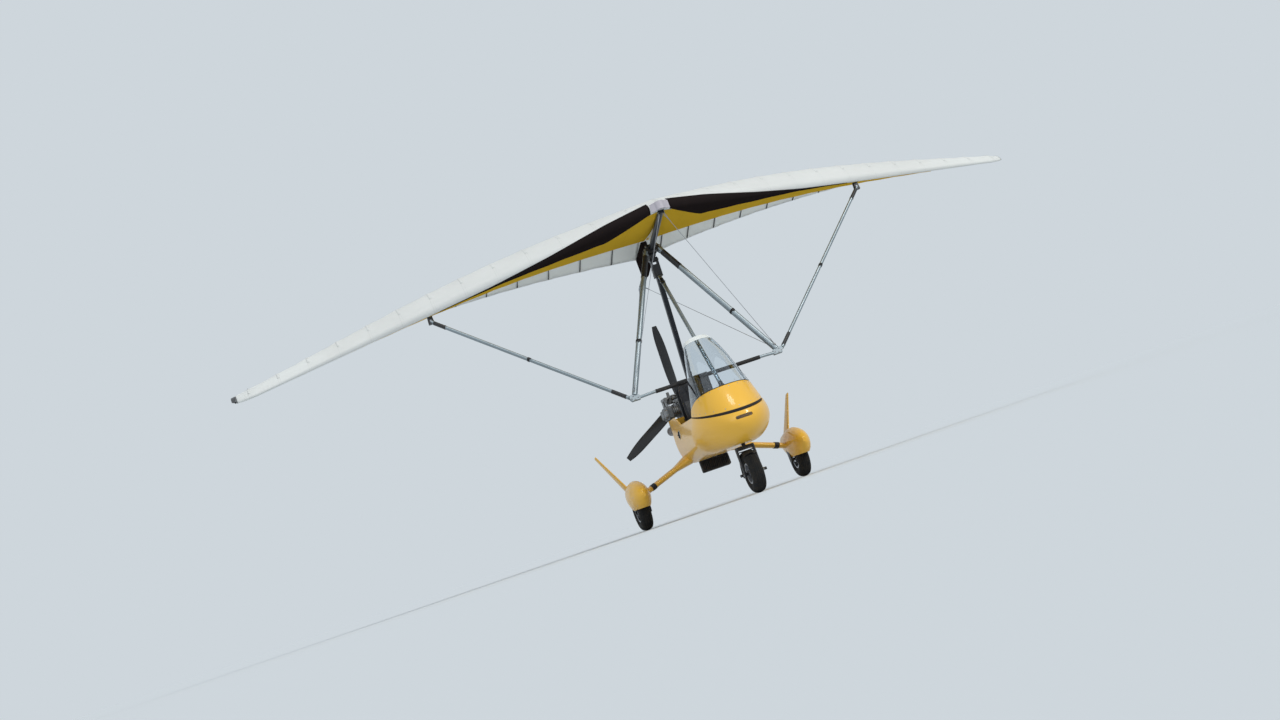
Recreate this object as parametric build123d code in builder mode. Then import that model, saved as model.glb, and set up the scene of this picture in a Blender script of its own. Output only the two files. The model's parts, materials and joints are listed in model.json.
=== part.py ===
from build123d import *
from math import cos, pi, radians, sin
import os

# Tandem two-seat flexwing microlight with a strut-braced wing and a faired pod.
# Millimetres, +Z up, nose towards -Y, +X on the aircraft's left.
# The origin is on the ground, in the middle of the whole aircraft's outline.

# Whole aircraft
wing_span = 9000
half_length = 1630          # pod nose and wing tips stand this far fore and aft of the origin
hang_y = -60                # hang bolt, where the wing pitches on the mast
hang_z = 2600
rest_pitch = 11.6           # keel tube's nose-up angle as parked, degrees

# Undercarriage
wheel_radius = 205
tyre_width = 130
rim_radius = 102
rim_width = 100
axle_radius = 14
rear_axle_y = 400
track_half = 885
front_axle_y = -1200
steering_rake = 14          # steering axis leans aft from the vertical, degrees
steering_foot = (0, -1150, 560)

# Wing, in its own frame: x to the left, aft from the hang bolt, up square to the keel tube
nose_reach = 1150
sweep_slope = 0.5           # the leading edge goes aft by this share of x
root_chord = 1850
edge_height = 120           # leading edge above the hang bolt at the root
edge_rise = 120             # and this much more at the tip
root_twist = 5.0            # trailing edge raised by this angle at the root, degrees
tip_twist = 27.0            # and at the tip, so the wing washes out
washout_bend = 1.25         # over 1 when most of the twist is in the inner half
root_crown = 0.100          # height of the crown as a share of the chord, at the root
tip_crown = 0.080           # and at the tip
billow = 0.075              # and this much more at mid span, where the sail billows
trim_start = 4250           # the tip's leading edge curves back outside this
tip_trim = 0.5              # share of the chord that the curve has cut off at the tip
keel_height = 90
keel_radius = 30
keel_rear = 1075            # open end of the keel tube, behind the trailing edge
strut_share = 0.524         # strut bracket's share of the half span
corner_x = 777
corner_aft = -330
corner_up = -1430
bar_radius = 15
apex_aft = -110
wire_radius = 2.5

# Pod
wall = 10
floor_z = 500
sill_z = 898                # cockpit sides
rim_nose_z = 783            # the tub's rim falls to this height at the nose

# Power unit
crank_z = 1085
prop_z = 1200
prop_radius = 850

pitch_cos = cos(radians(rest_pitch))
pitch_sin = sin(radians(rest_pitch))

wing = Plane(
    origin=(0, hang_y, hang_z),
    x_dir=(1, 0, 0),
    z_dir=(0, pitch_sin, pitch_cos),
)


def wing_point(x, aft, up):
    """Point of the wing's own frame, in the aircraft's frame."""
    return wing.from_local_coords(Vector(x, aft, up))


def along(start, end, side=None):
    """Plane at start, square to the line from start to end."""
    direction = Vector(*end) - Vector(*start)
    if side is None:
        return Plane(origin=start, z_dir=direction)
    return Plane(origin=start, x_dir=side, z_dir=direction)


def distance(start, end):
    return (Vector(*end) - Vector(*start)).length


def edge_aft(x):
    return -nose_reach + sweep_slope * abs(x)


def edge_up(x):
    return edge_height + edge_rise * abs(x) / (wing_span / 2)


tip_x = wing_span / 2


def twist(x):
    return root_twist + (tip_twist - root_twist) * (1 - (1 - abs(x) / tip_x) ** washout_bend)


def crown_height(x):
    span_share = abs(x) / tip_x
    return root_crown + (tip_crown - root_crown) * span_share + billow * sin(pi * span_share)


def trim(x):
    """Share of the chord that the curved tip has cut off at the front."""
    return tip_trim * max(0, (abs(x) - trim_start) / (tip_x - trim_start)) ** 4


# The tip's trailing corners are the aftmost points of the aircraft
tip_chord = (half_length - hang_y - edge_aft(tip_x) * pitch_cos - edge_up(tip_x) * pitch_sin) \
    / cos(radians(tip_twist - rest_pitch))


def chord(x):
    return root_chord + (tip_chord - root_chord) * abs(x) / tip_x


def section_point(x, share, height):
    """Point of the sail's section at x: share of the chord from the edge, height as share of chord."""
    t = radians(twist(x))
    c = chord(x)
    share = trim(x) + (1 - trim(x)) * share
    height = (1 - trim(x)) * height
    aft = edge_aft(x) + c * (share * cos(t) - height * sin(t))
    up = edge_up(x) + c * (share * sin(t) + height * cos(t))
    return (aft, up)


def upper_point(x, place):
    """Point of the upper cloth: place is a share of the chord and a share of the crown's height."""
    return section_point(x, place[0], place[1] * crown_height(x))


def section_plane(x):
    return Plane(origin=wing_point(x, 0, 0), x_dir=wing.y_dir, z_dir=(1, 0, 0))


# Upper cloth in shares of the chord and of the crown's height
nose_rise = (0.022, 0.325)
crown_front = (0.13, 0.825)
crown = (0.30, 1.0)
crown_rear = (0.62, 0.75)
# Nose, tail and underside in shares of the chord
nose_share = 0.003
nose_drop = (0.018, -0.016)
tail_top = (1.0, 0.004)
tail_low = (1.0, 0.000)
seam_low = (0.70, 0.020)
belly_mid = (0.42, -0.012)
cavity_front = 0.05
cavity_rear = 0.63
cloth = 5                   # thickness of the lower cloth's solid
cloth_gap = 0.4
sail_stations = (6, 1120, 2358, 3500, trim_start, 4440)
cavity_stations = (20, 1120, 2358, 3500, trim_start, 4410)


def belly_height(share):
    """Height of the underside's round arc at a share of the chord."""
    (ax, ay), (bx, by), (cx, cy) = nose_drop, belly_mid, seam_low
    turn = 2 * (ax * (by - cy) + bx * (cy - ay) + cx * (ay - by))
    squares = (ax * ax + ay * ay, bx * bx + by * by, cx * cx + cy * cy)
    middle = (squares[0] * (by - cy) + squares[1] * (cy - ay) + squares[2] * (ay - by)) / turn
    level = (squares[0] * (cx - bx) + squares[1] * (ax - cx) + squares[2] * (bx - ax)) / turn
    radius = ((ax - middle) ** 2 + (ay - level) ** 2) ** 0.5
    return level - (radius ** 2 - (share - middle) ** 2) ** 0.5


def sail_outline(x):
    """Closed section of the upper sail: leading edge, crown, trailing strip and flat underside."""
    nose_height = (nose_drop[1] + nose_rise[1] * crown_height(x)) / 2
    with BuildSketch(section_plane(x)) as outline:
        with BuildLine():
            ThreePointArc(section_point(x, *nose_drop), section_point(x, nose_share, nose_height),
                          upper_point(x, nose_rise))
            ThreePointArc(upper_point(x, nose_rise), upper_point(x, crown_front), upper_point(x, crown))
            ThreePointArc(upper_point(x, crown), upper_point(x, crown_rear), section_point(x, *tail_top))
            Line(section_point(x, *tail_top), section_point(x, *tail_low))
            Line(section_point(x, *tail_low), section_point(x, *seam_low))
            ThreePointArc(section_point(x, *seam_low), section_point(x, *belly_mid),
                          section_point(x, *nose_drop))
        make_face()
    return outline.sketch


def cavity_outline(x):
    """Space between the upper and lower cloth."""
    with BuildSketch(section_plane(x)) as outline:
        with BuildLine():
            front_low = section_point(x, cavity_front, -0.012)
            front_high = upper_point(x, (cavity_front, 0.42))
            rear_high = upper_point(x, (cavity_rear, 0.60))
            rear_low = section_point(x, cavity_rear, 0.020)
            Line(front_low, front_high)
            ThreePointArc(front_high, upper_point(x, (0.32, 0.91)), rear_high)
            Line(rear_high, rear_low)
            ThreePointArc(rear_low, section_point(x, 0.42, -0.005), front_low)
        make_face()
    return outline.sketch


def cloth_outline(x):
    """Thin section of the lower cloth, just under the upper sail's flat underside."""
    c = chord(x)
    upper = cloth_gap / c
    lower = (cloth_gap + cloth) / c
    front = (0.035, belly_height(0.035))
    rear = (seam_low[0] - 0.005, belly_height(seam_low[0] - 0.005))
    with BuildSketch(section_plane(x)) as outline:
        with BuildLine():
            ThreePointArc(section_point(x, front[0], front[1] - upper),
                          section_point(x, belly_mid[0], belly_mid[1] - upper),
                          section_point(x, rear[0], rear[1] - upper))
            Line(section_point(x, rear[0], rear[1] - upper), section_point(x, rear[0], rear[1] - lower))
            ThreePointArc(section_point(x, rear[0], rear[1] - lower),
                          section_point(x, belly_mid[0], belly_mid[1] - lower),
                          section_point(x, front[0], front[1] - lower))
            Line(section_point(x, front[0], front[1] - lower), section_point(x, front[0], front[1] - upper))
        make_face()
    return outline.sketch


# Black band on the underside, behind the leading edge: corner points (x, aft)
band_corners = [(110, -1112), (112, -1060), (520, -500), (1120, -345), (1600, -262), (2150, -62),
                (2150, -102)]

with BuildPart() as band_prism:
    with BuildSketch(wing):
        with BuildLine():
            Polyline(*band_corners, close=True)
        make_face()
    extrude(amount=500)

# Keel tube, open at the rear end, with collars fore and aft of the hang block
keel_front = -nose_reach + 45
collar_length = 12
with BuildPart() as keel_tube:
    with BuildSketch(along(wing_point(0, keel_front, keel_height), wing_point(0, keel_rear, keel_height))):
        Circle(keel_radius)
    extrude(amount=keel_rear - keel_front)
    with BuildSketch(along(wing_point(0, keel_rear, keel_height), wing_point(0, keel_front, keel_height))):
        Circle(keel_radius - 3)
    extrude(amount=420, mode=Mode.SUBTRACT)
    for aft in (-74, 62):
        start = wing_point(0, aft, keel_height)
        with BuildSketch(along(start, wing_point(0, aft + collar_length, keel_height))):
            Circle(keel_radius + 7)
        extrude(amount=collar_length)
keel_tube.part.label = "keel_tube"

with BuildPart() as sail_left:
    for x in sail_stations:
        add(sail_outline(x))
    loft(ruled=True)
    for x in cavity_stations:
        add(cavity_outline(x))
    loft(ruled=True, mode=Mode.SUBTRACT)
    add(keel_tube.part, mode=Mode.SUBTRACT)
sail_left.part.label = "sail_left"

# Centre web of the sail: closes the middle seam and holds the front of the keel tube
seam_half = sail_stations[0]
front_pocket = (-1060, -190)  # start and end, aft of the hang bolt


def sail_floor(aft):
    """Height of the sail's middle seam over a place along the keel, well inside the cloth."""
    return section_point(0, (aft + nose_reach) / root_chord, 0.01)[1]


with BuildPart() as keel_pocket:
    add(sail_outline(-seam_half))
    add(sail_outline(seam_half))
    loft(ruled=True)
    start, end = front_pocket
    with BuildSketch(section_plane(-seam_half)):
        with BuildLine():
            Polyline((start, keel_height), (end, keel_height), (end, sail_floor(end)),
                     (start, sail_floor(start)), close=True)
        make_face()
    extrude(amount=2 * seam_half)
    add(keel_tube.part, mode=Mode.SUBTRACT)
keel_pocket.part.label = "keel_pocket"

with BuildPart() as lower_cloth:
    for x in sail_stations[:4]:
        add(cloth_outline(x))
    loft(ruled=True)
    # outer end cut on a slant
    with BuildSketch(wing):
        with BuildLine():
            Polyline((3520, 300), (2900, 1500), (3900, 1900), (3900, 300), close=True)
        make_face()
    extrude(amount=900, mode=Mode.SUBTRACT)
    add(keel_tube.part, mode=Mode.SUBTRACT)

with BuildPart() as lower_sail_left:
    add(lower_cloth.part)
    add(band_prism.part, mode=Mode.SUBTRACT)
lower_sail_left.part.label = "lower_sail_left"

with BuildPart() as leading_band:
    add(lower_cloth.part)
    add(band_prism.part, mode=Mode.INTERSECT)
    mirror(about=Plane.YZ)
leading_band.part.label = "leading_band"

with BuildPart() as sail_right:
    add(sail_left.part)
    mirror(about=Plane.YZ, mode=Mode.REPLACE)
sail_right.part.label = "sail_right"

with BuildPart() as lower_sail_right:
    add(lower_sail_left.part)
    mirror(about=Plane.YZ, mode=Mode.REPLACE)
lower_sail_right.part.label = "lower_sail_right"

# Rear pocket: a dark cloth sleeve that hangs under the seam and wraps the keel tube
pocket_side = keel_radius + 12
pocket_top = 24             # half its width where it meets the sail
pocket_fore = 104
pocket_aft = 690
pocket_slant = 110          # its front edge slopes back from the sail down to the tube
with BuildPart() as rear_pocket:
    with BuildSketch(Plane(origin=wing_point(0, pocket_fore, 0), x_dir=(1, 0, 0), z_dir=wing.y_dir)):
        # local y points down
        with BuildLine():
            bottom = ThreePointArc((-pocket_side, -keel_height), (0, pocket_side - keel_height),
                                   (pocket_side, -keel_height))
            top = Line((pocket_top, -sail_floor(pocket_aft) - 40), (-pocket_top, -sail_floor(pocket_aft) - 40))
            Line(bottom @ 1, top @ 0)
            Line(top @ 1, bottom @ 0)
        make_face()
    extrude(amount=pocket_aft - pocket_fore)
    # ends cut on a slant
    with BuildSketch(section_plane(-100)):
        with BuildLine():
            Polyline((0, 0), (pocket_fore + pocket_slant, 0), (pocket_fore, 320), (0, 320), close=True)
        make_face()
        with BuildLine():
            Polyline((pocket_aft - 90, 0), (pocket_aft - 10, 320), (900, 320), (900, 0), close=True)
        make_face()
    extrude(amount=200, mode=Mode.SUBTRACT)
    for cut in (keel_tube, keel_pocket, sail_left, sail_right, lower_sail_left, lower_sail_right):
        add(cut.part, mode=Mode.SUBTRACT)
rear_pocket.part.label = "rear_pocket"

# Tip caps close the sail round the tip battens
wand_x = tip_x - 38
with BuildPart() as tip_caps:
    for x in (sail_stations[-1] + 1, tip_x):
        add(sail_outline(x))
    loft(ruled=True)
    with BuildSketch(along(wing_point(wand_x, *section_point(wand_x, 0.02, 0.0)),
                           wing_point(wand_x, *section_point(wand_x, 0.62, -0.01)))):
        Circle(9)
    extrude(amount=chord(wand_x) * (1 - trim(wand_x)) * 0.9)
    mirror(about=Plane.YZ)
tip_caps.part.label = "tip_caps"

# Nose cone closes the front of the keel pocket where the two leading edges meet
with BuildPart() as nose_cone:
    with BuildSketch(Plane(origin=wing_point(0, edge_aft(0) - 14, 86), x_dir=(1, 0, 0), z_dir=wing.z_dir)):
        with BuildLine():
            edge = ThreePointArc((-48, 20), (0, -8), (48, 20))
            Line(edge @ 1, (96, 48))
            Line((96, 48), (0, 16))
            Line((0, 16), (-96, 48))
            Line((-96, 48), edge @ 0)
        make_face()
    extrude(amount=84)
    for cut in (sail_left, sail_right, keel_tube, keel_pocket):
        add(cut.part, mode=Mode.SUBTRACT)
nose_cone.part.label = "nose_cone"

# A-frame under the keel
upright_foot = (corner_x - 18, corner_aft, corner_up + 33)
apex = (72, apex_aft, keel_height - 26)

with BuildPart() as upright_left:
    top = wing_point(*apex)
    foot = wing_point(*upright_foot)
    with BuildSketch(along(top, foot, side=wing.y_dir)):
        Ellipse(38, 28)
    extrude(amount=distance(top, foot))
upright_left.part.label = "upright_left"

with BuildPart() as upright_right:
    add(upright_left.part)
    mirror(about=Plane.YZ, mode=Mode.REPLACE)
upright_right.part.label = "upright_right"

with BuildPart() as apex_bracket:
    with BuildSketch(Plane(origin=wing_point(0, apex_aft - 30, 0), x_dir=(1, 0, 0), z_dir=wing.y_dir)):
        # local x across, local y down
        with BuildLine():
            Polyline((-50, -130), (50, -130), (92, -92), (112, -20), (70, -20), (44, -52),
                     (-44, -52), (-70, -20), (-112, -20), (-92, -92), close=True)
        make_face()
    extrude(amount=56)
    add(keel_tube.part, mode=Mode.SUBTRACT)
    add(upright_left.part, mode=Mode.SUBTRACT)
    add(upright_right.part, mode=Mode.SUBTRACT)
apex_bracket.part.label = "apex_bracket"

# Base bar: straight grips with ends bent aft into the corners
bar_path = [(-corner_x + 30, corner_aft, corner_up), (-600, corner_aft - 45, corner_up - 6),
            (600, corner_aft - 45, corner_up - 6), (corner_x - 30, corner_aft, corner_up)]
with BuildPart() as base_bar:
    with BuildLine():
        FilletPolyline(*[wing_point(*p) for p in bar_path], radius=120)
    with BuildSketch(along(wing_point(*bar_path[0]), wing_point(*bar_path[1]))):
        Circle(bar_radius)
    sweep()
base_bar.part.label = "base_bar"

grip_half = 555
with BuildPart() as bar_grip:
    with BuildSketch(Plane(origin=wing_point(-grip_half, *bar_path[1][1:]), z_dir=(1, 0, 0))):
        Circle(bar_radius + 5)
        Circle(bar_radius, mode=Mode.SUBTRACT)
    extrude(amount=2 * grip_half)
bar_grip.part.label = "bar_grip"

# Lift struts from the corners to the leading edge tubes
strut_x = strut_share * wing_span / 2
strut_head = (strut_x, edge_aft(strut_x) + 70, edge_up(strut_x) - 62)
strut_foot = (corner_x + 40, corner_aft, corner_up + 26)
end_length = 110
with BuildPart() as strut_left:
    foot = wing_point(*strut_foot)
    head = wing_point(*strut_head)
    with BuildSketch(along(foot, head, side=wing.y_dir)):
        Ellipse(30, 17)
    extrude(amount=distance(foot, head))
strut_left.part.label = "strut_left"

with BuildPart() as strut_right:
    add(strut_left.part)
    mirror(about=Plane.YZ, mode=Mode.REPLACE)
strut_right.part.label = "strut_right"

with BuildPart() as strut_brackets:
    with BuildSketch(Plane(origin=wing_point(strut_x, edge_aft(strut_x) + 70, edge_up(strut_x) - 84),
                           x_dir=(1, 0, 0), z_dir=wing.z_dir)):
        RectangleRounded(64, 48, 14)
    extrude(amount=78, taper=4)
    mirror(about=Plane.YZ)
    for cut in (sail_left, sail_right, lower_sail_left, lower_sail_right, leading_band, strut_left,
                strut_right):
        add(cut.part, mode=Mode.SUBTRACT)
strut_brackets.part.label = "strut_brackets"

# Main stays: two front and two rear flying wires
stay_foot = (corner_x - 8, corner_aft, corner_up + 38)
front_stay_head = (22, keel_front + 30, keel_height - 24)
rear_stay_head = (28, keel_rear - 70, keel_height - 12)
with BuildPart() as front_stays:
    foot = wing_point(stay_foot[0], stay_foot[1] - 20, stay_foot[2])
    head = wing_point(*front_stay_head)
    with BuildSketch(along(foot, head)):
        Circle(wire_radius)
    extrude(amount=distance(foot, head))
    mirror(about=Plane.YZ)
    for cut in (keel_tube, keel_pocket, upright_left, upright_right):
        add(cut.part, mode=Mode.SUBTRACT)
front_stays.part.label = "front_stays"

with BuildPart() as rear_stays:
    foot = wing_point(stay_foot[0], stay_foot[1] + 20, stay_foot[2])
    head = wing_point(*rear_stay_head)
    with BuildSketch(along(foot, head)):
        Circle(wire_radius)
    extrude(amount=distance(foot, head))
    mirror(about=Plane.YZ)
    for cut in (keel_tube, upright_left, upright_right):
        add(cut.part, mode=Mode.SUBTRACT)
rear_stays.part.label = "rear_stays"

# Corner fittings join the uprights, base bar, struts and stays
with BuildPart() as corner_fittings:
    with BuildSketch(Plane(origin=wing_point(0, corner_aft - 24, 0), x_dir=(1, 0, 0), z_dir=wing.y_dir)):
        with BuildLine():
            Polyline((corner_x - 62, -corner_up - 26), (corner_x - 20, -corner_up - 42),
                     (corner_x + 30, -corner_up - 44), (corner_x + 44, -corner_up - 20),
                     (corner_x + 26, -corner_up + 18), (corner_x - 62, -corner_up + 20), close=True)
        make_face()
    extrude(amount=48)
    mirror(about=Plane.YZ)
    for cut in (base_bar, upright_left, upright_right, strut_left, strut_right, front_stays, rear_stays):
        add(cut.part, mode=Mode.SUBTRACT)
corner_fittings.part.label = "corner_fittings"

# Hang block: pitches on the hang bolt and lets the keel tube roll inside it
with BuildPart() as hang_block:
    with BuildSketch(Plane(origin=wing_point(0, -60, keel_height), x_dir=(1, 0, 0), z_dir=wing.y_dir)):
        RectangleRounded(96, 92, 16)
    extrude(amount=120)
    with BuildSketch(Plane(origin=wing_point(-21, 0, 0), x_dir=wing.y_dir, z_dir=(1, 0, 0))):
        with BuildLine():
            tip = ThreePointArc((-24, 0), (0, -24), (24, 0))
            Line(tip @ 1, (40, 50))
            Line((40, 50), (-40, 50))
            Line((-40, 50), tip @ 0)
        make_face()
    extrude(amount=42)
    with BuildSketch(along(wing_point(0, -70, keel_height), wing_point(0, 70, keel_height))):
        Circle(keel_radius + 0.6)
    extrude(amount=140, mode=Mode.SUBTRACT)
    with BuildSketch(Plane(origin=wing_point(-40, 0, 0), z_dir=(1, 0, 0))):
        Circle(8.4)
    extrude(amount=80, mode=Mode.SUBTRACT)
hang_block.part.label = "hang_block"

# Mast, its head and the front strut
mast_foot = (0, 340, 640)
mast_top = (0, -36, 2500)
with BuildPart() as mast:
    with BuildSketch(along(mast_foot, mast_top, side=(1, 0, 0))):
        RectangleRounded(50, 76, 16)
    extrude(amount=distance(mast_foot, mast_top))
mast.part.label = "mast"

with BuildPart() as mast_head:
    with BuildSketch(Plane(origin=(-42, hang_y, hang_z), x_dir=(0, 1, 0), z_dir=(1, 0, 0))):
        with BuildLine():
            round_top = ThreePointArc((-27, 0), (0, 27), (27, 0))
            Line(round_top @ 1, (78, -180))
            Line((78, -180), (-12, -180))
            Line((-12, -180), round_top @ 0)
        make_face()
    extrude(amount=84)
    with BuildSketch(Plane(origin=(-23, hang_y, hang_z), x_dir=(0, 1, 0), z_dir=(1, 0, 0))):
        Rectangle(140, 96)
    extrude(amount=46, mode=Mode.SUBTRACT)
    add(mast.part, mode=Mode.SUBTRACT)
    with BuildSketch(Plane(origin=(-50, hang_y, hang_z), z_dir=(1, 0, 0))):
        Circle(8)
    extrude(amount=100)
mast_head.part.label = "mast_head"

front_strut_top = (0, -78, 2420)
front_strut_foot = (0, -1180, 1030)
with BuildPart() as front_strut:
    with BuildSketch(along(front_strut_foot, front_strut_top)):
        Circle(20)
    extrude(amount=distance(front_strut_foot, front_strut_top))
    add(mast.part, mode=Mode.SUBTRACT)
    add(mast_head.part, mode=Mode.SUBTRACT)
front_strut.part.label = "front_strut"

# Trike keel beam on the pod floor, with the steering head at its front and the nose column
beam_z = floor_z + 12
beam_height = 60
rake_dir = Vector(0, sin(radians(steering_rake)), cos(radians(steering_rake)))
head_centre = Vector(*steering_foot)
column_foot = (0, -985, beam_z + beam_height)


def steering_plane(offset):
    """Plane square to the steering axis, at a distance up it from the steering foot."""
    return Plane(origin=head_centre + rake_dir * offset, x_dir=(1, 0, 0), z_dir=rake_dir)


with BuildPart() as keel_beam:
    with BuildSketch(Plane(origin=(0, -1140, beam_z + beam_height / 2), x_dir=(1, 0, 0), z_dir=(0, 1, 0))):
        RectangleRounded(60, beam_height, 10)
    extrude(amount=1140 + 440)
    with BuildSketch(steering_plane(-28)):
        Circle(32)
    extrude(amount=120)
    # nose column from the beam up to the foot of the front strut
    with BuildSketch(along(column_foot, (0, -1186, 1040))):
        Circle(19)
    extrude(amount=distance(column_foot, (0, -1186, 1040)))
    # mast foot sockets and rear cross member that carries the legs
    with BuildSketch(Plane(origin=(0, 400, 585), x_dir=(1, 0, 0), z_dir=(0, 1, 0))):
        Rectangle(260, 70)
    extrude(amount=40, both=True)
    with BuildSketch(Plane.XY.offset(beam_z + 20)):
        with Locations((0, 345)):
            Rectangle(90, 130)
    extrude(amount=110)
    add(mast.part, mode=Mode.SUBTRACT)
    with BuildSketch(steering_plane(-60)):
        Circle(20.6)
    extrude(amount=220, mode=Mode.SUBTRACT)
    add(front_strut.part, mode=Mode.SUBTRACT)
keel_beam.part.label = "keel_beam"

# Rear legs: faired springs from the cross member out to the axle plates
leg_root = (130, rear_axle_y, 600)
leg_end = (790, rear_axle_y, 368)
leg_run = (Vector(*leg_end) - Vector(*leg_root)).normalized()
flare_root = Vector(*leg_root) + leg_run * 115
flare_end = Vector(*leg_root) + leg_run * 300
plate_x = 786
plate_thickness = 20

with BuildPart() as leg_left:
    with BuildSketch(along(leg_root, leg_end, side=(0, 1, 0))):
        Ellipse(98, 34)
    with BuildSketch(Plane(origin=leg_end, x_dir=(0, 1, 0), z_dir=leg_run)):
        Ellipse(78, 29)
    loft()
    # the fairing flares where it meets the pod
    with BuildSketch(Plane(origin=flare_root, x_dir=(0, 1, 0), z_dir=leg_run)):
        Ellipse(128, 62)
    with BuildSketch(Plane(origin=flare_end, x_dir=(0, 1, 0), z_dir=leg_run)):
        Ellipse(93, 31)
    loft()
    with BuildSketch(Plane(origin=(plate_x, rear_axle_y, 300), x_dir=(0, 1, 0), z_dir=(1, 0, 0))):
        Rectangle(400, 400)
    extrude(amount=120, mode=Mode.SUBTRACT)
    add(keel_beam.part, mode=Mode.SUBTRACT)
leg_left.part.label = "leg_left"

with BuildPart() as leg_right:
    add(leg_left.part)
    mirror(about=Plane.YZ, mode=Mode.REPLACE)
leg_right.part.label = "leg_right"

# Axle plates with the stub axles of the rear wheels
with BuildPart() as rear_axles:
    with BuildSketch(Plane(origin=(plate_x, rear_axle_y, 0), x_dir=(0, 1, 0), z_dir=(1, 0, 0))):
        with BuildLine():
            low = ThreePointArc((-34, wheel_radius), (0, wheel_radius - 34), (34, wheel_radius))
            Line(low @ 1, (60, 400))
            Line((60, 400), (-60, 400))
            Line((-60, 400), low @ 0)
        make_face()
    extrude(amount=plate_thickness)
    with BuildSketch(Plane(origin=(plate_x, rear_axle_y, wheel_radius), z_dir=(1, 0, 0))):
        Circle(axle_radius)
    extrude(amount=170)
    mirror(about=Plane.YZ)
rear_axles.part.label = "rear_axles"

# Spats: lofted teardrops with an open wheel well and a swept tail fin.
# Sections (y, centre z, half width, half height)
spat_sections = [
    (-60, 360, 18, 22),
    (0, 356, 62, 86),
    (130, 350, 98, 148),
    (360, 352, 106, 176),
    (600, 372, 84, 132),
    (790, 404, 46, 74),
    (900, 424, 12, 30),
]
well_radius = 224
well_half_width = 75
fin_root = (track_half + 2, 700, 418)
fin_tip = (1100, 842, 890)


def spat_section(y, z, half_width, half_height):
    with BuildSketch(Plane(origin=(track_half, y, z), x_dir=(1, 0, 0), z_dir=(0, 1, 0))) as outline:
        Ellipse(half_width, half_height)
    return outline.sketch


with BuildPart() as spat_left:
    for row in spat_sections:
        add(spat_section(*row))
    loft()
    # flat lower edge
    with BuildSketch(Plane.XY.offset(0)):
        with Locations((track_half, rear_axle_y)):
            Rectangle(400, 1400)
    extrude(amount=232, mode=Mode.SUBTRACT)
    # tail fin
    with BuildSketch(along(fin_root, fin_tip, side=(0, 1, 0))):
        Ellipse(118, 20)
    with BuildSketch(Plane(origin=fin_tip, x_dir=(0, 1, 0), z_dir=Vector(*fin_tip) - Vector(*fin_root))):
        Ellipse(50, 11)
    loft()
    # wheel well
    well_side = (track_half - well_half_width, rear_axle_y, wheel_radius)
    with BuildSketch(Plane(origin=well_side, z_dir=(1, 0, 0))):
        Circle(well_radius)
    extrude(amount=2 * well_half_width, mode=Mode.SUBTRACT)
    add(rear_axles.part, mode=Mode.SUBTRACT)
    add(leg_left.part, mode=Mode.SUBTRACT)
spat_left.part.label = "spat_left"

with BuildPart() as spat_right:
    add(spat_left.part)
    mirror(about=Plane.YZ, mode=Mode.REPLACE)
spat_right.part.label = "spat_right"

# Engine bearers behind the mast, with their braces
bearer_x = 120
bearer_z = 960
engine_front = 476
engine_rear = 800
with BuildPart() as engine_frame:
    with BuildSketch(Plane(origin=(bearer_x, 250, bearer_z), x_dir=(1, 0, 0), z_dir=(0, 1, 0))):
        Circle(16)
    extrude(amount=engine_rear - 250)
    brace_foot = (bearer_x - 10, 415, 620)
    brace_head = (bearer_x, engine_rear - 40, bearer_z)
    with BuildSketch(along(brace_foot, brace_head)):
        Circle(14)
    extrude(amount=distance(brace_foot, brace_head))
    mirror(about=Plane.YZ)
    for y in (272, engine_rear - 60):
        with BuildSketch(Plane(origin=(-bearer_x, y, bearer_z), z_dir=(1, 0, 0))):
            Circle(14)
        extrude(amount=2 * bearer_x)
    add(mast.part, mode=Mode.SUBTRACT)
    add(keel_beam.part, mode=Mode.SUBTRACT)
engine_frame.part.label = "engine_frame"

# Pod tub: levels (z, nose y, half width, shoulder y, tail half width)
tub_levels = [
    (floor_z, -1350, 190, -700, 150),
    (550, -1500, 300, -760, 250),
    (640, -1602, 370, -800, 290),
    (720, -half_length + 2, 388, -850, 300),
    (sill_z, -1524, 346, -900, 296),
]
tub_tail = 470
rim_rear_y = -900           # the rim is level behind this line and falls to the nose before it
slot_z = 735


def tub_section(z, nose, half_width, shoulder, tail_width, inset):
    """Plan outline of the tub at one level: half an ellipse at the nose, tapering sides, square tail."""
    w = half_width - inset
    n = nose + inset
    t = tail_width - inset
    rear = tub_tail - inset
    with BuildSketch(Plane.XY.offset(z)) as outline:
        with BuildLine():
            EllipticalCenterArc((0, shoulder), w, shoulder - n, start_angle=180, arc_size=180)
            Line((w, shoulder), (t, rear))
            Line((t, rear), (-t, rear))
            Line((-t, rear), (-w, shoulder))
        make_face()
    return outline.sketch


def side_prism(*corners):
    """Prism right across the pod, from its outline (y, z) in the side view."""
    with BuildPart(mode=Mode.PRIVATE) as prism:
        with BuildSketch(Plane.YZ.offset(-500)):
            with BuildLine():
                Polyline(*corners, close=True)
            make_face()
        extrude(amount=1000)
    return prism.part


with BuildPart() as tub_cavity:
    for z, nose, half_width, shoulder, tail_width in tub_levels:
        raised = max(z, floor_z + 12)
        lift = 6 if z == sill_z else 0
        add(tub_section(raised + lift, nose, half_width, shoulder, tail_width, wall))
    loft()

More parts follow.
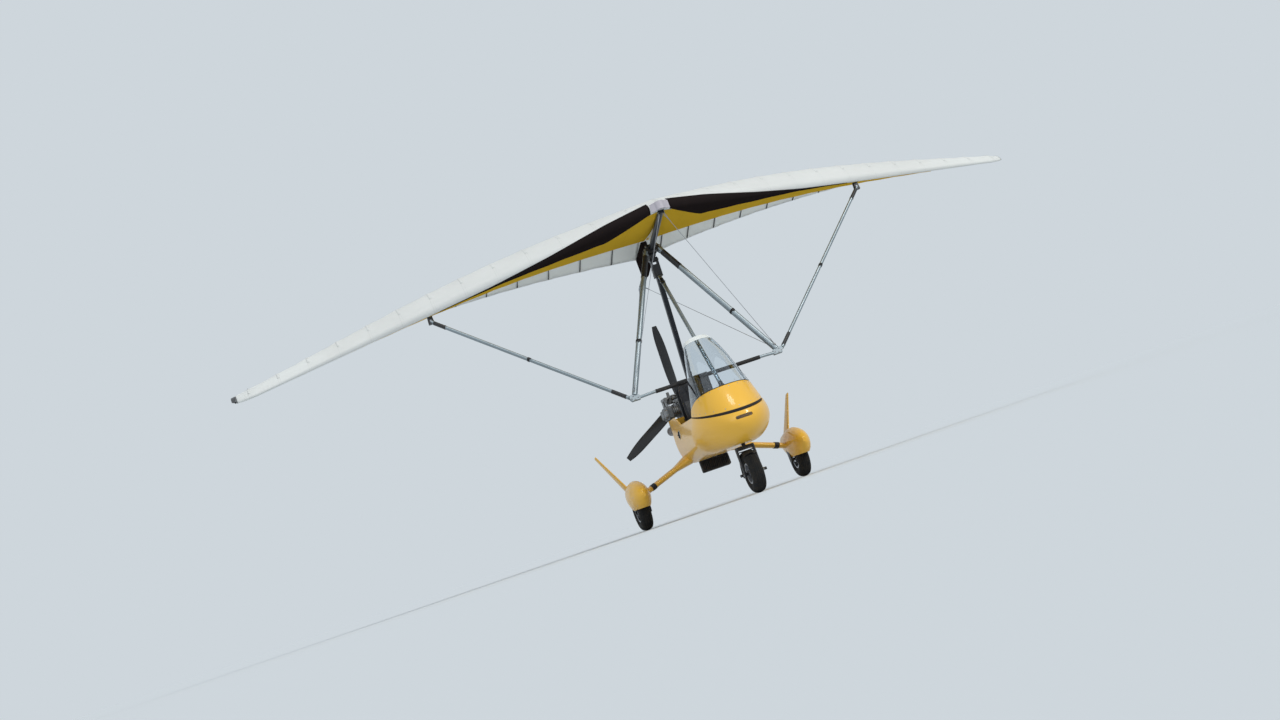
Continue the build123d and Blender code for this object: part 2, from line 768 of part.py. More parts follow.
with BuildPart() as pod_tub:
    for row in tub_levels:
        add(tub_section(*row, 0))
    loft()
    add(tub_cavity.part, mode=Mode.SUBTRACT)
    # rim, falling to the nose
    add(side_prism((-half_length - 20, rim_nose_z), (rim_rear_y, sill_z), (rim_rear_y, sill_z + 60),
                   (-half_length - 20, sill_z + 60)), mode=Mode.SUBTRACT)
    # air intake slot in the nose
    with BuildSketch(Plane(origin=(0, -half_length - 20, slot_z), x_dir=(1, 0, 0), z_dir=(0, 1, 0))):
        SlotOverall(170, 32)
    extrude(amount=160, mode=Mode.SUBTRACT)
    # opening for the steering column
    with BuildSketch(steering_plane(-90)):
        Circle(46)
    extrude(amount=70, mode=Mode.SUBTRACT)
    for cut in (leg_left, leg_right, keel_beam, engine_frame):
        add(cut.part, mode=Mode.SUBTRACT)
pod_tub.part.label = "pod_tub"

# Nose cowl, windscreen and its lip are cut from one bubble: levels (z, nose y, half width, rear edge y)
bubble_levels = [
    (765, -1598, 377, -900),
    (950, -1495, 333, -925),
    (1130, -1335, 288, -900),
    (1380, -1080, 222, -845),
    (1700, -745, 98, -610),
]
cowl_nose_z = 812           # lower edge of the cowl at the nose, above the dark gap
cowl_rear_z = 910
joint_arc = ((-1480, 1082), (-1190, 1058), (-860, 925))  # cowl meets screen, in the side view
lip_low = ((-900, 1640), (-560, 1530))
lip_high = ((-900, 1716), (-560, 1545))


def bubble(inset, reach=0):
    """Solid bubble, its surface moved in by an inset, its ends moved out by a reach."""
    with BuildPart(mode=Mode.PRIVATE) as form:
        for z, nose, half_width, rear in bubble_levels:
            step = {bubble_levels[0][0]: -reach, bubble_levels[-1][0]: reach}.get(z, 0)
            with BuildSketch(Plane.XY.offset(z + step)):
                with Locations((0, rear)):
                    Ellipse(half_width - inset, rear - nose - inset)
        loft()
    return form.part


with BuildPart() as bubble_behind:
    add(side_prism(*[(rear, z) for z, nose, half_width, rear in bubble_levels],
                   (-610, 1800), (600, 1800), (600, 700), (-900, 700)))

with BuildPart() as below_joint:
    with BuildSketch(Plane.YZ.offset(-500)):
        with BuildLine():
            ThreePointArc(*joint_arc)
            Polyline(joint_arc[2], (-600, 925), (-600, 600), (-1800, 600), (-1800, 1082), joint_arc[0])
        make_face()
    extrude(amount=1000)

with BuildPart() as nose_cowl:
    add(bubble(0))
    add(bubble(8, 2), mode=Mode.SUBTRACT)
    add(below_joint.part, mode=Mode.INTERSECT)
    add(bubble_behind.part, mode=Mode.SUBTRACT)
    add(side_prism((-half_length - 20, cowl_nose_z), (rim_rear_y, cowl_rear_z), (-600, cowl_rear_z),
                   (-600, 600), (-half_length - 20, 600)), mode=Mode.SUBTRACT)
nose_cowl.part.label = "nose_cowl"

with BuildPart() as windscreen:
    add(bubble(0))
    add(bubble(5, 2), mode=Mode.SUBTRACT)
    add(below_joint.part, mode=Mode.SUBTRACT)
    add(bubble_behind.part, mode=Mode.SUBTRACT)
    add(side_prism(*lip_low, (-560, 1800), (-900, 1800)), mode=Mode.SUBTRACT)
windscreen.part.label = "windscreen"

with BuildPart() as screen_lip:
    add(bubble(0))
    add(bubble(9, 2), mode=Mode.SUBTRACT)
    add(bubble_behind.part, mode=Mode.SUBTRACT)
    add(side_prism(*lip_low, lip_high[1], lip_high[0]), mode=Mode.INTERSECT)
screen_lip.part.label = "screen_lip"

# Dark seal strip on the tub's rim, in the gap under the cowl
with BuildPart() as seal_strip:
    with BuildSketch(Plane.XY.offset(rim_nose_z - 40)):
        with Locations((0, rim_rear_y)):
            Ellipse(344, 684)
            Ellipse(334, 674, mode=Mode.SUBTRACT)
    extrude(amount=200)
    add(side_prism((-half_length - 20, rim_nose_z), (rim_rear_y, sill_z), (rim_rear_y, cowl_rear_z),
                   (-half_length - 20, cowl_nose_z)), mode=Mode.INTERSECT)
seal_strip.part.label = "seal_strip"

# Instrument panel on the nose column, behind the screen
with BuildPart() as instrument_panel:
    with BuildSketch(Plane(origin=(0, -1215, 985), x_dir=(1, 0, 0), z_dir=(0, 1, 0.25))):
        RectangleRounded(420, 170, 40)
    extrude(amount=60)
    # wells of the dials, in the face towards the pilot
    panel_face = Plane(origin=(0, -1215, 985), x_dir=(1, 0, 0), z_dir=(0, 1, 0.25)).offset(60)
    with BuildSketch(panel_face):
        for x, y, radius in [(-150, 26, 36), (-72, 30, 36), (150, 26, 36), (72, 30, 36), (-110, -42, 26),
                             (110, -42, 26)]:
            with Locations((x, y)):
                Circle(radius)
    extrude(amount=-6, mode=Mode.SUBTRACT)
    add(keel_beam.part, mode=Mode.SUBTRACT)
    add(front_strut.part, mode=Mode.SUBTRACT)
instrument_panel.part.label = "instrument_panel"

# Seats: front seat low on the beam, rear seat on the tank
with BuildPart() as front_seat:
    with BuildSketch(Plane.YZ.offset(-190)):
        with BuildLine():
            Polyline((-640, beam_z + 60), (-620, 700), (-300, 655), (-178, 1085), (-112, 1085),
                     (-205, 640), (-230, beam_z + 60), close=True)
        make_face()
        fillet(vertices().group_by(Axis.Y)[1:], radius=24)
    extrude(amount=380)
front_seat.part.label = "front_seat"

with BuildPart() as fuel_tank:
    with BuildSketch(Plane(origin=(0, 40, beam_z + 61), x_dir=(1, 0, 0), z_dir=(0, 0, 1))):
        RectangleRounded(400, 400, 50)
    extrude(amount=210)
    add(mast.part, mode=Mode.SUBTRACT)
fuel_tank.part.label = "fuel_tank"

with BuildPart() as rear_seat:
    with BuildSketch(Plane.YZ.offset(-200)):
        with BuildLine():
            Polyline((-150, 783), (-155, 868), (40, 852), (110, 1330), (176, 1330),
                     (150, 1000), (176, 783), close=True)
        make_face()
    extrude(amount=400)
    add(mast.part, mode=Mode.SUBTRACT)
rear_seat.part.label = "rear_seat"

# Rear coaming: the raised yellow edge round the rear seat, standing on the tub's rim
coaming_front = -190
coaming_top = 1000
with BuildPart() as rear_coaming:
    add(tub_section(*tub_levels[-1], 0))
    extrude(amount=coaming_top - sill_z)
    add(tub_section(*tub_levels[-1], wall))
    extrude(amount=coaming_top - sill_z, mode=Mode.SUBTRACT)
    with BuildSketch(Plane.YZ.offset(-500)):
        with BuildLine():
            Polyline((-2000, sill_z - 5), (coaming_front, sill_z - 5), (coaming_front + 130, 950),
                     (coaming_front + 320, coaming_top + 5), (-2000, coaming_top + 5), close=True)
        make_face()
    extrude(amount=1000, mode=Mode.SUBTRACT)
    add(engine_frame.part, mode=Mode.SUBTRACT)
rear_coaming.part.label = "rear_coaming"

# Flat-four engine: crankcase with reduction gearbox
with BuildPart() as crankcase:
    with BuildSketch(Plane(origin=(0, engine_front, crank_z), x_dir=(1, 0, 0), z_dir=(0, 1, 0))):
        RectangleRounded(250, 200, 34)
    extrude(amount=engine_rear - engine_front)
    # joint flanges between the cylinders
    for y in (engine_front + 6, 621, engine_rear - 14):
        with BuildSketch(Plane(origin=(0, y, crank_z), x_dir=(1, 0, 0), z_dir=(0, 1, 0))):
            RectangleRounded(264, 214, 40)
        extrude(amount=8)
    with BuildSketch(Plane(origin=(0, engine_rear, crank_z), x_dir=(1, 0, 0), z_dir=(0, 1, 0))):
        with BuildLine():
            # local y points down
            low_arc = ThreePointArc((-92, 0), (0, 92), (92, 0))
            rise = prop_z - crank_z
            high_arc = ThreePointArc((72, -rise), (0, -rise - 72), (-72, -rise))
            Line(low_arc @ 1, high_arc @ 0)
            Line(high_arc @ 1, low_arc @ 0)
        make_face()
    extrude(amount=130)
    with BuildSketch(Plane(origin=(0, engine_rear + 130, prop_z), x_dir=(1, 0, 0), z_dir=(0, 1, 0))):
        Circle(36)
    extrude(amount=44)
crankcase.part.label = "crankcase"

cylinder_reach = 300
cylinder_rows = (550, 700)
with BuildPart() as cylinders:
    for y in cylinder_rows:
        with BuildSketch(Plane(origin=(126, y, crank_z), z_dir=(1, 0, 0))):
            Circle(48)
        extrude(amount=90)
        for step in range(4):
            with BuildSketch(Plane(origin=(134 + 20 * step, y, crank_z), z_dir=(1, 0, 0))):
                Circle(60)
            extrude(amount=9)
        with BuildSketch(Plane(origin=(214, y, crank_z), x_dir=(0, 1, 0), z_dir=(1, 0, 0))):
            RectangleRounded(122, 136, 20)
        extrude(amount=56)
        with BuildSketch(Plane(origin=(270, y, crank_z), x_dir=(0, 1, 0), z_dir=(1, 0, 0))):
            RectangleRounded(104, 104, 30)
        extrude(amount=30, taper=12)
    mirror(about=Plane.YZ)
cylinders.part.label = "cylinders"

# Carburettors: a float chamber under a round slide body, with a manifold to both heads and a cone filter
carburettor_x = 205
carburettor_z = crank_z + 150
with BuildPart() as carburettors:
    middle_y = sum(cylinder_rows) / 2
    for y in cylinder_rows:
        with BuildSketch(Plane(origin=(242, y, crank_z + 66), z_dir=(0, 0, 1))):
            Circle(17)
        extrude(amount=carburettor_z - crank_z - 66)
    with BuildSketch(Plane(origin=(242, cylinder_rows[0] - 16, carburettor_z), z_dir=(0, 1, 0))):
        Circle(19)
    extrude(amount=cylinder_rows[1] - cylinder_rows[0] + 32)
    with BuildSketch(Plane(origin=(242, middle_y, carburettor_z), z_dir=(-1, 0, 0))):
        Circle(21)
    extrude(amount=242 - carburettor_x + 50)
    with BuildSketch(Plane.XY.offset(carburettor_z - 62)):
        with Locations((carburettor_x - 24, middle_y)):
            Circle(27)
    extrude(amount=44)
    with BuildSketch(Plane.XY.offset(carburettor_z - 24)):
        with Locations((carburettor_x - 24, middle_y)):
            Circle(20)
    extrude(amount=92, taper=3)
    with BuildSketch(Plane(origin=(carburettor_x - 50, middle_y, carburettor_z), z_dir=(-1, 0, 0))):
        Circle(33)
    extrude(amount=96, taper=8)
    mirror(about=Plane.YZ)
    add(cylinders.part, mode=Mode.SUBTRACT)
carburettors.part.label = "carburettors"

# Silencer across the rear, with one pipe from each cylinder head
muffler_y = 640
muffler_z = 905
with BuildPart() as exhaust:
    for y in cylinder_rows:
        with BuildSketch(Plane(origin=(238, y, crank_z - 68), z_dir=(0, 0, -1))):
            Circle(17)
        extrude(amount=120)
    with BuildSketch(Plane(origin=(238, 500, muffler_z), x_dir=(1, 0, 0), z_dir=(0, 1, 0))):
        Circle(46)
    extrude(amount=300)
    mirror(about=Plane.YZ)
    with BuildSketch(Plane(origin=(-238, 520, muffler_z), z_dir=(1, 0, 0))):
        Circle(22)
    extrude(amount=476)
    add(engine_frame.part, mode=Mode.SUBTRACT)
exhaust.part.label = "exhaust"

with BuildPart() as radiator:
    with BuildSketch(Plane(origin=(0, 300, 438), x_dir=(1, 0, 0), z_dir=(0, 1, -0.12))):
        RectangleRounded(310, 124, 14)
    extrude(amount=60)
    # core, seen as slots between the tubes
    with BuildSketch(Plane(origin=(0, 300, 438), x_dir=(1, 0, 0), z_dir=(0, 1, -0.12))):
        with GridLocations(20, 0, 14, 1):
            Rectangle(12, 96)
    extrude(amount=14, mode=Mode.SUBTRACT)
    add(pod_tub.part, mode=Mode.SUBTRACT)
    add(leg_left.part, mode=Mode.SUBTRACT)
    add(leg_right.part, mode=Mode.SUBTRACT)
radiator.part.label = "radiator"

# Front fork: steerer, crown, two legs and the foot pegs on top
fork_x = 86
with BuildPart() as front_fork:
    with BuildSketch(steering_plane(-118)):
        Circle(20)
    extrude(amount=118 + 150)
    with BuildSketch(steering_plane(-118)):
        Rectangle(2 * fork_x + 24, 60)
        fillet(vertices(), radius=27)
    extrude(amount=24)
    with BuildSketch(steering_plane(106)):
        Rectangle(70, 56)
    extrude(amount=30)
    with BuildSketch(Plane(origin=head_centre + rake_dir * 124 - Vector(210, 0, 0), z_dir=(1, 0, 0))):
        Circle(13)
    extrude(amount=420)
    for side in (-1, 1):
        foot = Vector(side * fork_x, front_axle_y, wheel_radius)
        head = Vector(side * fork_x, 0, 0) + (head_centre + rake_dir * -100)
        with BuildSketch(along(foot, head, side=(1, 0, 0))):
            RectangleRounded(20, 48, 8)
        extrude(amount=distance(foot, head))
        with BuildSketch(Plane(origin=(side * fork_x - 10, front_axle_y, wheel_radius), z_dir=(1, 0, 0))):
            Circle(30)
        extrude(amount=20)
    # axle, hollow at its ends for a tow bar
    with BuildSketch(Plane(origin=(-135, front_axle_y, wheel_radius), z_dir=(1, 0, 0))):
        Circle(axle_radius)
    extrude(amount=270)
    with BuildSketch(Plane(origin=(-135, front_axle_y, wheel_radius), z_dir=(1, 0, 0))):
        Circle(8)
    extrude(amount=270, mode=Mode.SUBTRACT)
front_fork.part.label = "front_fork"

# Mudguard between the fork legs, hung on a rod, from just before the wheel's top to behind the axle
guard_radius = 222
guard_half_width = 68
guard_front = 34            # degrees before the wheel's top
guard_arc = 132
guard_rod_y = -1181
guard_rod_z = 423
with BuildPart() as front_mudguard:
    start = Plane(origin=(0, front_axle_y, wheel_radius), x_dir=(1, 0, 0), z_dir=(0, 1, 0))
    with BuildSketch(start.rotated((guard_front, 0, 0))):
        with BuildLine():
            # local y points down
            outer = ThreePointArc((-guard_half_width, 22 - guard_radius), (0, -guard_radius),
                                  (guard_half_width, 22 - guard_radius))
            inner = ThreePointArc((guard_half_width - 4, 24 - guard_radius), (0, 4 - guard_radius),
                                  (4 - guard_half_width, 24 - guard_radius))
            Line(outer @ 1, inner @ 0)
            Line(inner @ 1, outer @ 0)
        make_face()
    revolve(axis=Axis((0, front_axle_y, wheel_radius), (1, 0, 0)), revolution_arc=-guard_arc)
    with BuildSketch(Plane(origin=(-fork_x, guard_rod_y, guard_rod_z), z_dir=(1, 0, 0))):
        Circle(5)
    extrude(amount=2 * fork_x)
    add(front_fork.part, mode=Mode.SUBTRACT)
front_mudguard.part.label = "front_mudguard"


def rim(centre):
    """Cast wheel: drum with a dished web, eight holes and a hub bored for its axle."""
    with BuildPart() as wheel:
        with BuildSketch(Plane(origin=centre, z_dir=(1, 0, 0))):
            Circle(rim_radius)
            Circle(rim_radius - 12, mode=Mode.SUBTRACT)
        extrude(amount=rim_width / 2, both=True)
        with BuildSketch(Plane(origin=centre, z_dir=(1, 0, 0))):
            Circle(rim_radius - 6)
            with PolarLocations(62, 8):
                Circle(13, mode=Mode.SUBTRACT)
        extrude(amount=9, both=True)
        with BuildSketch(Plane(origin=centre, z_dir=(1, 0, 0))):
            Circle(34)
        extrude(amount=54, both=True)
        with BuildSketch(Plane(origin=centre, z_dir=(1, 0, 0))):
            Circle(axle_radius + 0.6)
        extrude(amount=80, both=True, mode=Mode.SUBTRACT)
    return wheel.part


def tyre(centre):
    """Balloon tyre on its rim."""
    half = tyre_width / 2
    x, y, z = centre
    with BuildPart() as ring:
        with BuildSketch(Plane(origin=centre, x_dir=(1, 0, 0), z_dir=(0, 1, 0))):
            with BuildLine():
                # local y points down, so the section is drawn below the axle
                left = Line((-half + 16, rim_radius), (-half + 8, rim_radius + 22))
                wall_left = ThreePointArc(left @ 1, (-half, rim_radius + 56), (-half + 22, wheel_radius - 12))
                tread = ThreePointArc(wall_left @ 1, (0, wheel_radius), (half - 22, wheel_radius - 12))
                wall_right = ThreePointArc(tread @ 1, (half, rim_radius + 56), (half - 8, rim_radius + 22))
                Line(wall_right @ 1, (half - 16, rim_radius))
                Line((half - 16, rim_radius), (-half + 16, rim_radius))
            make_face()
        revolve(axis=Axis((x, y, z), (1, 0, 0)), revolution_arc=360)
    return ring.part


wheel_places = {
    "front": (0, front_axle_y, wheel_radius),
    "rear_left": (track_half, rear_axle_y, wheel_radius),
    "rear_right": (-track_half, rear_axle_y, wheel_radius),
}
wheels = []
for place, centre in wheel_places.items():
    with BuildPart() as wheel_rim:
        add(rim(centre))
    wheel_rim.part.label = "rim_" + place
    with BuildPart() as wheel_tyre:
        add(tyre(centre))
    wheel_tyre.part.label = "tyre_" + place
    wheels += [wheel_rim, wheel_tyre]

# Propeller: three blades on a round hub, turning on the gearbox flange
hub_front = engine_rear + 175
with BuildPart() as propeller_hub:
    with BuildSketch(Plane(origin=(0, hub_front, prop_z), x_dir=(1, 0, 0), z_dir=(0, 1, 0))):
        Circle(68)
    extrude(amount=96)
    with BuildSketch(Plane(origin=(0, hub_front + 96, prop_z), x_dir=(1, 0, 0), z_dir=(0, 1, 0))):
        Circle(58)
    with BuildSketch(Plane(origin=(0, hub_front + 190, prop_z), x_dir=(1, 0, 0), z_dir=(0, 1, 0))):
        Circle(16)
    loft()
propeller_hub.part.label = "propeller_hub"

# Blade sections (radius, chord, thickness, pitch from the disc in degrees)
blade_sections = [(60, 66, 40, 40), (240, 120, 20, 30), (560, 112, 12, 19), (prop_radius, 54, 6, 14)]
with BuildPart() as propeller_blades:
    for turn in range(3):
        around = Rotation(0, 120 * turn, 0)
        with BuildPart(mode=Mode.PRIVATE) as blade:
            for radius, width, thickness, angle in blade_sections:
                across = (cos(radians(angle)), sin(radians(angle)), 0)
                with BuildSketch(Plane(origin=(0, 0, radius), x_dir=across, z_dir=(0, 0, 1))):
                    Ellipse(width / 2, thickness / 2)
            loft()
        add(Location((0, hub_front + 48, prop_z)) * around * blade.part)
    add(propeller_hub.part, mode=Mode.SUBTRACT)
propeller_blades.part.label = "propeller_blades"

pieces = [
    sail_left, sail_right, lower_sail_left, lower_sail_right, leading_band, tip_caps, nose_cone,
    keel_tube, keel_pocket, rear_pocket, upright_left, upright_right, apex_bracket, base_bar, bar_grip,
    corner_fittings,
    strut_left, strut_right, strut_brackets, front_stays, rear_stays, hang_block,
    mast, mast_head, front_strut, keel_beam, leg_left, leg_right, rear_axles, spat_left, spat_right,
    pod_tub, nose_cowl, windscreen, screen_lip, seal_strip, instrument_panel, front_seat, fuel_tank,
    rear_seat, rear_coaming, engine_frame, crankcase, cylinders, carburettors, exhaust, radiator,
    front_fork, front_mudguard, *wheels,
    propeller_hub, propeller_blades,
]

os.makedirs("parts", exist_ok=True)
for piece in pieces:
    export_step(piece.part, f"parts/{piece.part.label}.step")
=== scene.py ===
import cmath
import functools
import json
import math
from math import cos, pi, radians, sin

import bmesh
import bpy
import numpy as np
from mathutils import Matrix, Vector
from mathutils.bvhtree import BVHTree


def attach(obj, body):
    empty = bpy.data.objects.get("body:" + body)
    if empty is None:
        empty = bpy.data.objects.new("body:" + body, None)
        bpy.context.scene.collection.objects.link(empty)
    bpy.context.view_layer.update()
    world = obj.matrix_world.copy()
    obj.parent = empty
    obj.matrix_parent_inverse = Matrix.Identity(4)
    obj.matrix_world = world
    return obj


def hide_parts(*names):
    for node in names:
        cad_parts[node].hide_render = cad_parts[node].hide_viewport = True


# Two-seat flexwing microlight, dressed in sailcloth, gloss paint, alloy tube and rubber.
# Metres, +Z up, nose towards -Y, +X on the aircraft's left.

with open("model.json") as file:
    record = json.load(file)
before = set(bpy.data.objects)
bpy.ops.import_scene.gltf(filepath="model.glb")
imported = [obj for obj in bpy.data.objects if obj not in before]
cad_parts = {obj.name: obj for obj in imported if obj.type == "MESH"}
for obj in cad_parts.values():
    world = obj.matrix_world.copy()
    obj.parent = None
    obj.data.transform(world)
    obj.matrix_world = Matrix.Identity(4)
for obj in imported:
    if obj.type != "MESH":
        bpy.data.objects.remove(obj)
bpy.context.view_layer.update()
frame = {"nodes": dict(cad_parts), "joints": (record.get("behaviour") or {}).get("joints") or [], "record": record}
pivots = {joint["name"]: Vector(joint["pos_m"]) for joint in frame["joints"]}


# Camera

camera_place = Vector((-4.264, -19.648, 0.10))
camera_azimuth = radians(-12.28)
camera_elevation = radians(-4.85)
camera_roll = radians(19.1)
aim_right, aim_up = -0.0198, -0.0136     # the view's middle, from the first aim, as slopes
lens, film_width = 55.2, 36              # millimetres
farthest_seen = 500


def set_camera():
    back = Vector((sin(camera_azimuth) * cos(camera_elevation),
                   -cos(camera_azimuth) * cos(camera_elevation), sin(camera_elevation)))
    level_right = Vector((0, 0, 1)).cross(back).normalized()
    level_up = back.cross(level_right)
    right = cos(camera_roll) * level_right - sin(camera_roll) * level_up
    up = sin(camera_roll) * level_right + cos(camera_roll) * level_up
    back = (back - aim_right * right - aim_up * up).normalized()
    right = (right - right.dot(back) * back).normalized()
    up = back.cross(right)
    data = bpy.data.cameras.new("camera")
    data.lens = lens
    data.sensor_width = film_width
    data.clip_end = farthest_seen
    camera = bpy.data.objects.new("camera", data)
    turned = Matrix((right, up, back)).transposed().to_4x4()
    camera.matrix_world = Matrix.Translation(camera_place) @ turned
    bpy.context.scene.collection.objects.link(camera)
    bpy.context.scene.camera = camera


set_camera()


# Shader sums

class Wire:
    """A node's output that takes part in Python sums."""

    def __init__(self, graph, socket):
        self.graph = graph
        self.socket = socket

    def sum(self, operation, *values):
        return self.graph.node("ShaderNodeMath", {"operation": operation}, dict(enumerate(values)))

    def __add__(self, other):
        return self.sum("ADD", self, other)

    def __radd__(self, other):
        return self.sum("ADD", other, self)

    def __sub__(self, other):
        return self.sum("SUBTRACT", self, other)

    def __rsub__(self, other):
        return self.sum("SUBTRACT", other, self)

    def __mul__(self, other):
        return self.sum("MULTIPLY", self, other)

    def __rmul__(self, other):
        return self.sum("MULTIPLY", other, self)

    def __lt__(self, other):
        return self.sum("LESS_THAN", self, other)

    def __mod__(self, other):
        return self.sum("FLOORED_MODULO", self, other)

    def __abs__(self):
        return self.sum("ABSOLUTE", self)

    def fade(self, low, high):
        """0 at low and under, 1 at high and over."""
        return self.graph.node("ShaderNodeMapRange", {"clamp": True},
                               {"Value": self, "From Min": low, "From Max": high})


class Graph:
    """The nodes of one material, or of the world."""

    def __init__(self, owner):
        owner.use_nodes = True
        self.tree = owner.node_tree

    def feed(self, node, sockets):
        """Gives a node's sockets their values or links."""
        for key, value in sockets.items():
            if isinstance(value, Wire):
                self.tree.links.new(value.socket, node.inputs[key])
            else:
                node.inputs[key].default_value = value

    def node(self, kind, settings=None, sockets=None, out=0):
        made = self.tree.nodes.new(kind)
        for key, value in (settings or {}).items():
            setattr(made, key, value)
        self.feed(made, sockets or {})
        return Wire(self, made.outputs[out])


class Finish(Graph):
    """One material, built from a Principled shader."""

    def __init__(self, name):
        self.material = bpy.data.materials.new(name)
        super().__init__(self.material)
        self.shader = self.tree.nodes["Principled BSDF"]

    def place(self):
        """The aircraft's own coordinates, in metres."""
        return self.node("ShaderNodeTexCoord", out="Object")

    def axis(self, vector, letter):
        return self.node("ShaderNodeSeparateXYZ", {}, {0: vector}, out=letter)

    def along(self, direction, start):
        """Distance from a point, measured along a direction."""
        moved = self.node("ShaderNodeVectorMath", {"operation": "SUBTRACT"},
                          {0: self.place(), 1: start})
        return self.node("ShaderNodeVectorMath", {"operation": "DOT_PRODUCT"},
                         {0: moved, 1: direction}, out="Value")

    def noise(self, scale, detail=3, stretch=(1, 1, 1)):
        spread = self.node("ShaderNodeMapping", {}, {0: self.place(), "Scale": stretch})
        return self.node("ShaderNodeTexNoise", {},
                         {"Vector": spread, "Scale": scale, "Detail": detail})

    def mix(self, first, second, share):
        """The first colour at 0, the second at 1."""
        return self.node("ShaderNodeMix", {"data_type": "RGBA"},
                         {0: share, 6: first, 7: second}, out=2)

    def bump(self, height, depth, strength=1.0):
        relief = self.node("ShaderNodeBump", {},
                           {"Strength": strength, "Distance": depth, "Height": height})
        self.set({"Normal": relief})

    def set(self, sockets):
        self.feed(self.shader, sockets)


def tint(red, green, blue):
    """A colour given in 0 to 255, as light."""
    def light(value):
        share = value / 255
        return share / 12.92 if share <= 0.04045 else ((share + 0.055) / 1.055) ** 2.4
    return (light(red), light(green), light(blue), 1.0)


# World and lamps

backdrop_colour = tint(206, 214, 220)
sky_colour, sky_strength = (0.90, 0.95, 1.0, 1), 0.55
lit_point = Vector((0, 0, 1.2))
lamps = {
    # name: place, strength, softness in degrees, colour
    "key": ((7, -8, 9), 1.4, 12, (1, 0.97, 0.92)),
    "overhead": ((-1, -2.6, 9), 0.75, 18, (0.97, 0.98, 1)),
    "fill": ((-9, -12, 3), 0.7, 50, (0.92, 0.96, 1)),
}


def set_world():
    """Even sky light on the aircraft. The camera, glass and metal see the backdrop's colour."""
    world = bpy.data.worlds.new("studio")
    graph = Graph(world)
    seen = graph.node("ShaderNodeLightPath", out="Is Camera Ray")
    for ray in ("Is Transmission Ray", "Is Glossy Ray"):
        seen = seen.sum("MAXIMUM", seen, graph.node("ShaderNodeLightPath", out=ray))
    sky = graph.tree.nodes["Background"]
    graph.feed(sky, {"Color": sky_colour, "Strength": sky_strength})
    backdrop = graph.node("ShaderNodeBackground", {}, {"Color": backdrop_colour, "Strength": 1.0})
    blend = graph.node("ShaderNodeMixShader", {}, {0: seen, 1: Wire(graph, sky.outputs[0]), 2: backdrop})
    graph.feed(graph.tree.nodes["World Output"], {0: blend})
    bpy.context.scene.world = world


def add_lamp(name, place, strength, softness, colour):
    """A soft sun that shines from its place towards the aircraft."""
    data = bpy.data.lights.new(name, "SUN")
    data.energy = strength
    data.angle = radians(softness)
    data.color = colour
    made = bpy.data.objects.new(name, data)
    made.location = place
    made.rotation_mode = "QUATERNION"
    made.rotation_quaternion = (Vector(place) - lit_point).to_track_quat("Z", "Y")
    bpy.context.scene.collection.objects.link(made)


set_world()
for name, row in lamps.items():
    add_lamp(name, *row)
bpy.context.scene.view_settings.view_transform = "Standard"


# Mesh forms

